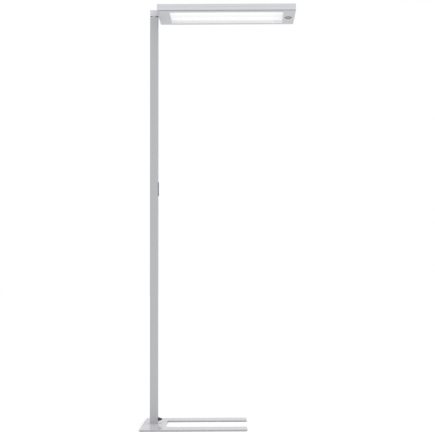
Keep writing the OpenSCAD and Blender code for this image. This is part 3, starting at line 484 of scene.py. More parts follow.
class Finish:
    """A material whose pattern lies in the object's own coordinates, in metres."""

    def __init__(self, name):
        self.material = bpy.data.materials.new(name)
        self.material.use_nodes = True
        tree = self.material.node_tree
        self.nodes, self.links = tree.nodes, tree.links
        self.shader = self.nodes["Principled BSDF"]
        self.place = self.node("ShaderNodeTexCoord", output="Object")

    def node(self, kind, settings=None, inputs=None, output=0):
        """Adds a node: its settings or a ramp's stops first, then the values or links of its inputs."""
        made = self.nodes.new(kind)
        for key, value in (settings or {}).items():
            if key == "stops":
                while len(made.color_ramp.elements) < len(value):
                    made.color_ramp.elements.new(0.5)
                for element, (position, level) in zip(made.color_ramp.elements, value):
                    element.position = position
                    element.color = (level, level, level, 1)
            else:
                setattr(made, key, value)
        for key, value in (inputs or {}).items():
            if isinstance(value, Number):
                self.links.new(value.socket, made.inputs[key])
            else:
                made.inputs[key].default_value = value
        return Number(self, made.outputs[output])

    def axes(self):
        """The object's own x, y and z."""
        split = self.node("ShaderNodeSeparateXYZ", {}, {0: self.place})
        return [Number(self, split.socket.node.outputs[k]) for k in range(3)]

    def stretched(self, scale):
        """Object coordinates scaled differently along X, Y and Z."""
        return self.node("ShaderNodeMapping", {}, {"Vector": self.place, "Scale": scale})

    def noise(self, scale, detail=2.0, at=None):
        """Clouds, about scale of them in a metre, between 0 and 1."""
        inputs = {"Vector": at or self.place, "Scale": scale, "Detail": detail}
        return self.node("ShaderNodeTexNoise", {}, inputs)

    def cells(self, scale, feature="F1"):
        """Cells, about scale of them in a metre: the distance from their middles or their edges."""
        inputs = {"Vector": self.place, "Scale": scale}
        return self.node("ShaderNodeTexVoronoi", {"feature": feature}, inputs)

    def ramp(self, factor, *stops):
        """A grey level for the factor, through stops of (position, level)."""
        return self.node("ShaderNodeValToRGB", {"stops": stops}, {"Fac": factor})

    def fade(self, value, start, end, first=0.0, last=1.0, curve="LINEAR"):
        """Goes from first to last as the value goes from start to end, and keeps to them outside."""
        return self.node("ShaderNodeMapRange", {"interpolation_type": curve}, {
            "Value": value, "From Min": start, "From Max": end, "To Min": first, "To Max": last,
        })

    def blend(self, factor, first, second):
        """Mixes two colours."""
        inputs = {0: factor, 6: first, 7: second}
        return self.node("ShaderNodeMix", {"data_type": "RGBA"}, inputs, output=2)

    def tinted(self, base, factor, low, high):
        """The base colour scaled from low to high, as factor goes from 0 to 1."""
        return self.blend(factor, rgba(base, low), rgba(base, high))

    def bump(self, height, depth, strength):
        """A relief that is depth metres deep where the height goes from 0 to 1."""
        inputs = {"Height": height, "Distance": depth, "Strength": strength}
        return self.node("ShaderNodeBump", {}, inputs)

    def surface(self, **sockets):
        """Sets or links the shader's sockets, which are named with _ for a space."""
        for key, value in sockets.items():
            socket = self.shader.inputs[key.replace("_", " ").title().replace("Ior", "IOR")]
            if isinstance(value, Number):
                self.links.new(value.socket, socket)
            else:
                socket.default_value = value
        return self.material


def rgba(base, scale=1.0):
    """A colour made lighter or darker, with full alpha."""
    return tuple(min(1.0, c * scale) for c in base[:3]) + (1.0,)


MADE = {}        # the materials made so far, by their makers' names


def kept(maker):
    """Makes a material when it is first asked for, and gives the same one from then on."""

    def material():
        if maker.__name__ not in MADE:
            MADE[maker.__name__] = maker()
        return MADE[maker.__name__]

    return material


# ---- Materials ----


def powder_coat(name, base):
    """Fine powder coat: shallow orange peel, a slow drift in the gloss and faint clouds in the tone."""
    f = Finish(name)
    clouds = f.noise(4.0, 3.0)
    peel = f.noise(1100.0)
    grit = f.cells(2600.0)
    height = peel * 0.7 + grit * 0.3
    return f.surface(
        base_color=f.tinted(base, clouds, 0.975, 1.025),
        roughness=f.noise(60.0, 3.0) * 0.10 + (finishes().coat_roughness - 0.05),
        normal=f.bump(height, 0.04 * MM, 0.35),
    )


@kept
def white_coat():
    return powder_coat("white_coat", finishes().white_coat)


# painted shade: the head's underside gets a darker copy of the white powder coat
@kept
def tray_shade_coat():
    return powder_coat("tray_shade_coat", finishes().tray_shade_coat)


@kept
def plate_coat():
    """Smoother, glossier coat of the base plate: painted shade darkens its edge below the top, and the
    gloss drifts a little."""
    f = Finish("plate_coat")
    z = f.axes()[2]
    top = box("base_plate")[1][2]
    base = finishes().plate_coat
    top_share = f.fade(z, top - 1.2 * MM, top - 0.3 * MM)
    clouds = f.noise(5.0, 3.0)
    face = f.tinted(base, clouds, 0.98, 1.04)
    # painted shade: the edge band below the plate's top gets a darker copy of the coat
    edge = f.tinted(base, clouds, 0.86, 0.92)
    return f.surface(
        base_color=f.blend(top_share, edge, face),
        roughness=f.noise(35.0, 3.0) * 0.08 + (finishes().plate_roughness - 0.04),
        normal=f.bump(f.noise(700.0), 0.03 * MM, 0.22),
        specular_ior_level=0.08,
    )


@kept
def pole_coat():
    """Satin coat on a drawn tube: fine lines along the pole over a shallow grain, and painted shade that
    darkens the corners."""
    f = Finish("pole_coat")
    lines = f.noise(1.0, 2.0, f.stretched((1600.0, 1600.0, 9.0)))
    clouds = f.noise(3.0, 3.0, f.stretched((1.0, 1.0, 0.5)))
    grain = f.noise(1500.0)
    x, y, _ = f.axes()
    half = box("pole_tube")[1][1]
    corner_share = (x / half) ** 2 * (y / half) ** 2
    # painted shade: 1 on the flat faces, falling to 0 on the corners, which are painted darker
    unshaded_share = f.fade(corner_share, 0.80, 0.88, 1.0, 0.0)
    tone = (clouds * 0.6 + lines * 0.4) * 0.45 + unshaded_share * 0.55
    return f.surface(
        base_color=f.tinted(finishes().pole_coat, tone, 0.90, 1.035),
        roughness=lines * 0.12 + (finishes().pole_roughness - 0.06),
        metallic=0.25,
        normal=f.bump(lines * 0.5 + grain * 0.5, 0.03 * MM, 0.3),
    )


@kept
def inner_coat():
    """White enamel inside the head: smooth, with faint waves from rolling."""
    f = Finish("inner_coat")
    waves = f.noise(1.0, 2.0, f.stretched((12.0, 160.0, 160.0)))
    return f.surface(
        base_color=f.tinted(finishes().inner_coat, waves, 0.97, 1.02),
        roughness=f.noise(120.0) * 0.12 + 0.24,
        normal=f.bump(waves, 0.06 * MM, 0.3),
    )


def moulded(name, base, rough=0.45, grain=2200.0, depth=0.03 * MM):
    """Moulded plastic: a spark-eroded grain, with a slow drift in tone and gloss."""
    f = Finish(name)
    drift = f.noise(70.0, 3.0)
    texture = f.cells(grain) * 0.5 + f.noise(grain * 0.8) * 0.5
    return f.surface(
        base_color=f.tinted(base, drift, 0.95, 1.05),
        roughness=drift * 0.14 + (rough - 0.07),
        normal=f.bump(texture, depth, 0.5),
    )


@kept
def white_plastic():
    return moulded("white_plastic", finishes().white_plastic, 0.34, 1800.0)


@kept
def frame_plastic():
    return moulded("frame_plastic", finishes().frame_plastic, 0.4, 1800.0)


@kept
def ring_plastic():
    """Grey plastic of the sensor's ring, with painted light on the wall round the lens and its face a
    little darker.
    """
    f = Finish("ring_plastic")
    x, y, _ = f.axes()
    low, high = box("sensor_ring")
    across = x - (low[0] + high[0]) / 2
    radius = (across * across + y * y) ** 0.5
    face_share = f.fade(radius, 11.8 * MM, 12.2 * MM)
    return f.surface(
        # painted light: the wall inside the ring, shaded in its recess, is painted 1.7 times lighter, the
        # face 0.88 times as light
        base_color=f.tinted(finishes().ring_plastic, face_share, 1.7, 0.88),
        roughness=f.noise(70.0, 3.0) * 0.14 + 0.35,
        normal=f.bump(f.cells(2200.0), 0.03 * MM, 0.5),
    )


@kept
def grey_plastic():
    return moulded("grey_plastic", finishes().grey_plastic, 0.45)


@kept
def key_plastic():
    return moulded("key_plastic", finishes().key_plastic, 0.5, 2600.0)


@kept
def black_plastic():
    return moulded("black_plastic", finishes().black_plastic, 0.48)


@kept
def glide_rubber():
    return moulded("glide_rubber", (0.16, 0.16, 0.165), 0.72, 1400.0, 0.06 * MM)


@kept
def cable_jacket():
    """Soft cable jacket with fine marks from the die along the cable."""
    f = Finish("cable_jacket")
    marks = f.noise(900.0, 3.0)
    return f.surface(
        base_color=f.tinted((0.05, 0.05, 0.052), marks, 0.9, 1.15),
        roughness=marks * 0.15 + 0.42,
        normal=f.bump(marks, 0.03 * MM, 0.4),
    )


def wire_jacket(name, base):
    """Insulation of a single wire, smooth and slightly shiny."""
    f = Finish(name)
    marks = f.noise(500.0)
    return f.surface(
        base_color=f.tinted(base, marks, 0.9, 1.1),
        roughness=marks * 0.1 + 0.3,
        normal=f.bump(marks, 0.03 * MM, 0.3),
    )


@kept
def zinc_steel():
    """Zinc-plated steel: crystals that differ a little in tone and gloss, and fine scratches."""
    f = Finish("zinc_steel")
    crystals = f.cells(700.0)
    scratches = f.noise(1.0, 3.0, f.stretched((60.0, 2400.0, 2400.0)))
    return f.surface(
        base_color=f.tinted(finishes().steel, crystals, 0.92, 1.06),
        roughness=crystals * 0.12 + scratches * 0.12 + 0.22,
        metallic=1.0,
        normal=f.bump(scratches, 0.02 * MM, 0.3),
    )


@kept
def collar_metal():
    """Turned metal: fine rings round the pole's axis, spaced by the lathe's feed."""
    f = Finish("collar_metal")
    x, y, z = f.axes()
    radius = (x * x + y * y) ** 0.5
    feed = 21000.0        # radians per metre: a groove every 0.3 mm
    rings = f.node("ShaderNodeMath", {"operation": "SINE"}, {0: (radius + z) * feed})
    return f.surface(
        base_color=f.tinted(finishes().collar, f.noise(300.0), 0.93, 1.05),
        roughness=rings * 0.04 + 0.42,
        metallic=0.3,
        normal=f.bump(rings, 0.01 * MM, 0.4),
    )


def yellow_metal(name, base):
    """Porous yellow metal, duller in its pores."""
    f = Finish(name)
    pores = f.cells(1800.0)
    return f.surface(
        base_color=f.tinted(base, pores, 0.85, 1.1),
        roughness=pores * 0.2 + 0.3,
        metallic=1.0,
        normal=f.bump(pores, 0.02 * MM, 0.4),
    )


@kept
def bush_bronze():
    return yellow_metal("bush_bronze", (0.60, 0.40, 0.20))


@kept
def terminal_brass():
    return yellow_metal("terminal_brass", (0.66, 0.52, 0.25))


@kept
def wire_brown():
    return wire_jacket("wire_brown", (0.14, 0.055, 0.025))


@kept
def wire_blue():
    return wire_jacket("wire_blue", (0.03, 0.16, 0.42))


@kept
def wire_green():
    return wire_jacket("wire_green", (0.05, 0.26, 0.07))


@kept
def wire_yellow():
    return wire_jacket("wire_yellow", (0.62, 0.50, 0.04))


@kept
def wire_light():
    return wire_jacket("wire_light", (finishes().wire_colours[0],) * 3)


@kept
def wire_dark():
    return wire_jacket("wire_dark", (finishes().wire_colours[1],) * 3)


@kept
def reflector_sheet():
    """Bright rolled aluminium with lines along the sheet and shallow waves."""
    f = Finish("reflector_sheet")
    lines = f.noise(1.0, 3.0, f.stretched((14.0, 2200.0, 2200.0)))
    waves = f.noise(30.0)
    return f.surface(
        base_color=f.tinted((0.78, 0.79, 0.81), lines, 0.95, 1.03),
        roughness=lines * 0.1 + 0.12,
        metallic=1.0,
        normal=f.bump(lines * 0.2 + waves * 0.8, 0.12 * MM, 0.35),
    )


@kept
def board_laminate():
    """Circuit board under a green mask: copper tracks in a grid of cells, a shade lighter and raised."""
    f = Finish("board_laminate")
    tracks = f.ramp(f.cells(420.0, "DISTANCE_TO_EDGE"), (0.03, 1.0), (0.07, 0.0))
    weave = f.noise(2400.0)
    return f.surface(
        base_color=f.blend(tracks, rgba((0.012, 0.11, 0.05)), rgba((0.03, 0.21, 0.10))),
        roughness=weave * 0.1 + 0.28,
        normal=f.bump(tracks * 0.7 + weave * 0.3, 0.04 * MM, 0.5),
    )


@kept
def opal_acrylic():
    """Opal sheet lit from behind: a bright band below each lamp, fading to the edges and to the ends,
    over a fine satin surface."""
    f = Finish("opal_acrylic")
    x, y, z = f.axes()
    low, high = box("diffuser")
    tubes = box("lamp_tube_rear")
    lamp_y = (tubes[0][1] + tubes[1][1]) / 2

    def band(centre):
        """1 below a lamp, falling with the square of the way across from it."""
        away = (y - centre) / details().glow_width
        return 1.0 / (away * away + 1.0)

    start, end = box("lamp_base_rear")[1][0], tubes[1][0]
    near_end = f.fade(x, start - 30 * MM, start + 50 * MM, 0.86, 1.0, "SMOOTHSTEP")
    far_end = f.fade(x, end - 50 * MM, end + 30 * MM, 1.0, 0.86, "SMOOTHSTEP")
    edge = f.fade(z, low[2], high[2], 1.0, 0.35)
    bands = (band(-lamp_y) + band(lamp_y)) * 0.33 + 0.62
    level = bands * near_end * far_end * edge + f.noise(40.0) * 0.02
    return f.surface(
        base_color=rgba((0.455, 0.46, 0.46)),
        roughness=f.noise(500.0) * 0.1 + 0.3,
        emission_color=f.tinted(finishes().glow, level, 0.0, 1.0),
        emission_strength=finishes().diffuser_glow,
        normal=f.bump(f.noise(1300.0), 0.03 * MM, 0.4),
    )


@kept
def lamp_glass():
    """White phosphor behind glass, glowing, with darker ends where the electrodes sit."""
    f = Finish("lamp_glass")
    x = f.axes()[0]
    start = box("lamp_tube_rear")[0][0]
    lit = f.fade(x, start + 6 * MM, start + 40 * MM, 0.15, 1.0, "SMOOTHSTEP")
    powder = f.noise(260.0, 3.0)
    level = lit * (powder * 0.06 + 0.94)
    return f.surface(
        base_color=f.blend(lit, rgba((0.16, 0.165, 0.17)), rgba((0.36, 0.365, 0.37))),
        roughness=powder * 0.05 + 0.06,
        emission_color=f.tinted(finishes().glow, level, 0.0, 1.0),
        emission_strength=finishes().lamp_glow,
        coat_weight=0.5, coat_roughness=0.03,
        normal=f.bump(powder, 0.02 * MM, 0.2),
    )


@kept
def clear_acrylic():
    """Clear sheet that shows what lies below it, with a polished face and faint dust."""
    f = Finish("clear_acrylic")
    dust = f.ramp(f.noise(900.0, 4.0), (0.62, 0.0), (0.75, 1.0))
    return f.surface(
        base_color=rgba((0.45, 0.48, 0.50)),
        roughness=dust * 0.2 + 0.03,
        alpha=dust * 0.05 + 0.09,
        ior=1.49, coat_weight=0.6, coat_roughness=0.02,
        normal=f.bump(f.noise(25.0), 0.03 * MM, 0.2),
    )


@kept
def lens_plastic():
    """Milky moulded lens of a presence sensor."""
    f = Finish("lens_plastic")
    milk = f.noise(400.0)
    return f.surface(
        base_color=f.tinted((0.46, 0.465, 0.475), milk, 0.96, 1.03),
        roughness=milk * 0.1 + 0.25,
        subsurface_weight=0.2, subsurface_radius=(2 * MM, 2 * MM, 2 * MM), subsurface_scale=0.5,
        normal=f.bump(milk, 0.03 * MM, 0.3),
    )


@kept
def floor_paper():
    """Plain pale floor with a hardly visible grain."""
    f = Finish("floor_paper")
    grain = f.noise(30.0, 4.0)
    return f.surface(
        base_color=f.tinted((0.82, 0.82, 0.82), grain, 0.99, 1.01),
        roughness=0.9, specular_ior_level=0.0,
        normal=f.bump(grain, 0.2 * MM, 0.2),
    )


SLOT_FINISH = {
    "white_coat": white_coat, "pole_coat": pole_coat, "collar_metal": collar_metal,
    "zinc_steel": zinc_steel, "reflector_sheet": reflector_sheet, "bush_bronze": bush_bronze,
    "black_plastic": black_plastic, "grey_plastic": grey_plastic, "key_plastic": key_plastic,
    "white_plastic": white_plastic, "board_laminate": board_laminate, "glide_rubber": glide_rubber,
    "cable_jacket": cable_jacket, "opal_acrylic": opal_acrylic, "clear_acrylic": clear_acrylic,
    "lens_plastic": lens_plastic, "lamp_glass": lamp_glass,
}


def slot_finish(node):
    """The finish that a node's material slot stands for."""
    return SLOT_FINISH[SLOT_OF[node]]()


# ---- Operators ----


class LAMP_OT_camera(bpy.types.Operator):
    """Stand the camera in front of the lamp, a little to the right of the pole"""

    bl_idname = "lamp.camera"
    bl_label = "Camera"
    bl_options = {"REGISTER", "UNDO"}

    def execute(self, context):
        studio = context.scene.lamp_studio
        data = bpy.data.cameras.new("view")
        data.sensor_width = 36.0
        data.lens = studio.camera_lens
        data.shift_x, data.shift_y = studio.camera_shift
        camera = bpy.data.objects.new("view", data)
        camera.location = studio.camera_place
        tilt = Matrix.Rotation(math.pi / 2 + studio.camera_tilt, 3, "X")
        roll = Matrix.Rotation(studio.camera_roll, 3, "Z")
        camera.rotation_euler = (tilt @ roll).to_euler("XYZ")
        context.scene.collection.objects.link(camera)
        context.scene.camera = camera
        return {"FINISHED"}


class LAMP_OT_stage(bpy.types.Operator):
    """Lay a plain pale floor under soft white light"""

    bl_idname = "lamp.stage"
    bl_label = "Stage"
    bl_options = {"REGISTER", "UNDO"}

    def execute(self, context):
        studio = context.scene.lamp_studio
        half = studio.floor_size / 2
        corners = [[[x, y, 0.0] for y in (-half, half)] for x in (-half, half)]
        points, faces = lattice(np.array(corners))
        mesh = bpy.data.meshes.new("floor")
        mesh.from_pydata(points.tolist(), [], [face[::-1] for face in faces])
        mesh.materials.append(floor_paper())
        floor = bpy.data.objects.new("floor", mesh)
        context.scene.collection.objects.link(floor)

        world = bpy.data.worlds.new("white surroundings")
        world.use_nodes = True
        sky = world.node_tree.nodes["Background"]
        sky.inputs["Color"].default_value = (1, 1, 1, 1)
        sky.inputs["Strength"].default_value = studio.sky_level
        context.scene.world = world

        spread, lean, turn = np.radians([75, 34, 38])
        key = bpy.data.lights.new("key", "SUN")
        key.energy = studio.key_level
        key.angle = spread
        light = bpy.data.objects.new("key", key)
        light.rotation_euler = Euler((lean, 0, turn), "XYZ")
        context.scene.collection.objects.link(light)
        context.scene.view_settings.view_transform = "Standard"
        context.scene.view_settings.look = "None"
        return {"FINISHED"}


class LAMP_OT_base(bpy.types.Operator):
    """Finish the base plate and weld the pole's foot to it"""

    bl_idname = "lamp.base"
    bl_label = "Base"
    bl_options = {"REGISTER", "UNDO"}

    def execute(self, context):
        softened("base_plate", plate_coat(), details().plate_edge)
        low, high = box("pole_tube")
        plate_top = box("base_plate")[1][2]
        leg = details().weld_leg
        angle = np.linspace(0, math.pi / 2, 7)
        # a quarter circle about (leg, leg), carried round the pole's outline
        hollow = np.stack([leg * (1 - np.cos(angle)), leg * (1 - np.sin(angle))], -1)
        sunk = 0.1 * MM        # how far the fillet reaches into plate and pole
        profile = np.vstack([[[-sunk, -sunk], [-sunk, leg]], hollow, [[leg, -sunk]]]) + [0, plate_top]
        outline = rounded_outline(high[0] - low[0], high[1] - low[1], POLE_CORNER, 8)
        weld = lattice(carried(profile, outline), wrap_rows=True, wrap_columns=True)
        piece("foot_weld", [weld], "stand", pole_coat(), crease=60)
        return {"FINISHED"}


class LAMP_OT_feet(bpy.types.Operator):
    """Finish the rubber glides, the pad and the screws under the plate"""

    bl_idname = "lamp.feet"
    bl_label = "Feet"
    bl_options = {"REGISTER", "UNDO"}

    def execute(self, context):
        softened("glides", glide_rubber(), 0.4 * MM)
        softened("centre_pad", glide_rubber(), 0.4 * MM)
        softened("base_screws", zinc_steel(), 0.12 * MM)
        return {"FINISHED"}


class LAMP_OT_pole(bpy.types.Operator):
    """Finish the square pole and what it holds"""

    bl_idname = "lamp.pole"
    bl_label = "Pole"
    bl_options = {"REGISTER", "UNDO"}

    def execute(self, context):
        softened("pole_tube", pole_coat(), 0.3 * MM)
        for node in ("foot_block", "gland_nut", "plug_screws"):
            softened(node, slot_finish(node), 0.15 * MM)
        return {"FINISHED"}


class LAMP_OT_gland(bpy.types.Operator):
    """Turn the black cable gland with its flex grooves"""

    bl_idname = "lamp.gland"
    bl_label = "Cable gland"
    bl_options = {"REGISTER", "UNDO"}

    def execute(self, context):
        low, high = box("cable_gland")
        height = (low[2] + high[2]) / 2
        wall, end = box("pole_tube")[1][0], high[0]
        bore, thread, flange, cone, tip = np.array([3.6, 5.9, 9.5, 8.75, 4.6]) * MM      # radii
        neck = wall + 2 * MM        # the flange's outer face, where the cone starts
        chamfer, corner, lip = 0.4 * MM, 0.3 * MM, 0.6 * MM
        grooves, deep = details().gland_rings, 0.75 * MM
        t = np.linspace(0, 1, grooves * 12 + 1)
        # a groove is the third power of a cosine wave, and the grooves get shallower towards the tip
        dip = deep * (0.5 - 0.5 * np.cos(2 * math.pi * t * grooves)) ** 3 * (1 - 0.35 * t)
        ribs = np.stack([neck + (end - 1.4 * MM - neck) * t, cone + (tip - cone) * t - dip], -1)
        angle = np.linspace(0, math.pi / 2, 6)
        rim = np.stack([end - lip + lip * np.sin(angle), tip - lip + lip * np.cos(angle)], -1)
        mouth = np.stack([end - lip * (1 - np.cos(angle)), bore + lip * (1 - np.sin(angle))], -1)
        profile = np.vstack([
            [[low[0], bore], [low[0], thread - chamfer], [low[0] + chamfer, thread], [wall, thread],
             [wall, flange - corner], [wall + corner, flange], [neck - lip, flange],
             [neck - 0.1 * MM, flange - chamfer]],
            ribs, rim, mouth, [[low[0] + 1 * MM, bore]],
        ])
        body = revolved(profile, (0, 0, height), "X", 56, closed=True)
        piece("gland_body", [body], "stand", black_plastic(), ("cable_gland",), 50)
        return {"FINISHED"}


class LAMP_OT_switch(bpy.types.Operator):
    """Finish the switch panel, its two keys and the raised marks on them"""

    bl_idname = "lamp.switch"
    bl_label = "Switch panel"
    bl_options = {"REGISTER", "UNDO"}

    def execute(self, context):
        softened("switch_housing", grey_plastic(), 0.5 * MM)
        half, arm, thick = 3.2 * MM, 2.2 * MM, 0.9 * MM
        # a bent bar of six corners, upside down on the lower key
        arrow = np.array([
            [-half, -arm], [0, arm - 0.2 * thick], [half, -arm], [half, -arm + 1.4 * thick],
            [0, arm + 1.2 * thick], [-half, -arm + 1.4 * thick],
        ])
        for way, name in ((1, "up"), (-1, "down")):
            softened(f"key_{name}", key_plastic(), 0.45 * MM)
            low, high = box(f"key_{name}")
            centre, face = (low + high) / 2, high[0]
            outline = (arrow * [1, way] + centre[1:])[::way]
            mark = extruded(outline, face - 0.1 * MM, face + details().mark_height)
            piece(f"mark_{name}", [mark], f"{name}_key", white_plastic(), crease=20)
        for node in ("switch_board", "tact_switches"):
            softened(node, slot_finish(node), 0.1 * MM)
        return {"FINISHED"}


class LAMP_OT_swivel(bpy.types.Operator):
    """Finish the plug, collar and bearing parts of the swivel"""

    bl_idname = "lamp.swivel"
    bl_label = "Swivel"
    bl_options = {"REGISTER", "UNDO"}

    def execute(self, context):
        softened("pole_plug", collar_metal(), 0.25 * MM)
        softened("thrust_washer", black_plastic(), 0.15 * MM)
        for node in ("swivel_bush", "swivel_spindle", "spring_washer", "spindle_nut", "stop_pin"):
            softened(node, slot_finish(node), 0.15 * MM)
        return {"FINISHED"}


class LAMP_OT_cap(bpy.types.Operator):
    """Finish the cap on the pole and its lid"""

    bl_idname = "lamp.cap"
    bl_label = "Pole cap"
    bl_options = {"REGISTER", "UNDO"}

    def execute(self, context):
        softened("pole_cap", white_coat(), 0.5 * MM)
        softened("cap_lid", white_coat(), 0.35 * MM)
        softened("arm_screws", zinc_steel(), 0.2 * MM)
        face = box("pole_cap")[1][2] - CAP_HEIGHT
        # a black sheet that paints shade into the corners of the gap under the cap
        self.shade_sheet(face)
        self.slip_ring(face)
        return {"FINISHED"}

    def slip_ring(self, face):
        """Light ring round the hub in the gap under the cap, just clear of the plug."""
        outer, inner, clearance = 16 * MM, 13.55 * MM, 0.1 * MM
        bottom = box("pole_plug")[1][2] + clearance
        cover = ring((0, 0, bottom), outer, inner, face - bottom)
        piece("slip_ring", [cover], "head", frame_plastic())

    def shade_sheet(self, face):
        """Thin black sheet under the cap, a dark piece that paints shade into the corners of the gap: a
        square with round corners outside, and inside a circle whose points lie on the same rays."""
        low, high = box("pole_tube")
        margin, opening, thick = 2 * MM, 16.4 * MM, 0.3 * MM
        outer = rounded_outline(high[0] - low[0] - 2 * margin, high[1] - low[1] - 2 * margin, POLE_CORNER)
        inner = unit(outer) * opening
        rows = [(inner, 0.0), (outer, 0.0), (outer, -thick), (inner, -thick)]
        points = np.array([np.column_stack([flat, np.full(len(flat), face + z)]) for flat, z in rows])
        sheet = lattice(points, wrap_rows=True, wrap_columns=True)
        piece("cap_shade_sheet", [sheet], "head", black_plastic())


class LAMP_OT_housing(bpy.types.Operator):
    """Finish the head's end plates, side rails, tray and recess frame"""

    bl_idname = "lamp.housing"
    bl_label = "Head housing"
    bl_options = {"REGISTER", "UNDO"}

    def execute(self, context):
        edge = details().coat_edge
        for node in ("end_plate_inner", "end_plate_outer"):
            softened(node, white_coat(), edge)
        for node in ("side_rail_front", "side_rail_rear"):
            softened(node, white_coat(), 0.3 * MM, clamp=False)
        # the tray takes the darker coat of painted shade
        softened("bottom_tray", tray_shade_coat(), 0.4 * MM)
        softened("end_screws", zinc_steel(), 0.15 * MM)
        softened("tray_clips", zinc_steel(), 0.2 * MM)
        softened("recess_frame", frame_plastic(), 0.25 * MM)
        return {"FINISHED"}


class LAMP_OT_sheets(bpy.types.Operator):
    """Finish the opal diffuser and the clear cover"""

    bl_idname = "lamp.sheets"
    bl_label = "Diffuser and cover"
    bl_options = {"REGISTER", "UNDO"}

    def execute(self, context):
        softened("diffuser", opal_acrylic(), 0.3 * MM)
        softened("top_cover", clear_acrylic(), 0.25 * MM)
        return {"FINISHED"}


class LAMP_OT_sensor(bpy.types.Operator):
    """Mould the sensor's ring and its faceted lens"""

    bl_idname = "lamp.sensor"
    bl_label = "Presence sensor"
    bl_options = {"REGISTER", "UNDO"}

    def execute(self, context):
        softened("sensor_ring", ring_plastic(), 0.4 * MM)
        softened("sensor_board", board_laminate(), 0.1 * MM)
        low, high = box("sensor_lens")
        centre = (low + high) / 2
        rim = (high[0] - low[0]) / 2
        face = high[2] - LENS_RIM
        bulge = face - low[2]
        # radius of the sphere through the rim and the lens's lowest point
        dome = (rim**2 + bulge**2) / (2 * bulge)
        wall = 1.0 * MM
        # where the rings of facets meet, as shares of the rim's radius
        t = np.array([0.0, 0.22, 0.42, 0.60, 0.77, 0.90, 1.0])
        outside = np.stack([low[2] + dome - np.sqrt(dome**2 - (rim * t) ** 2), rim * t], -1)
        inside = outside[::-1] * [1, 0.92] + [wall, 0]
        edge = [[high[2], rim], [high[2], rim - wall], [face, rim - wall]]
        lens = revolved(np.vstack([outside, edge, inside[1:]]), (centre[0], centre[1], 0), "Z", 20)
        piece("lens_facets", [lens], "head", lens_plastic(), ("sensor_lens",), crease=3)
        return {"FINISHED"}


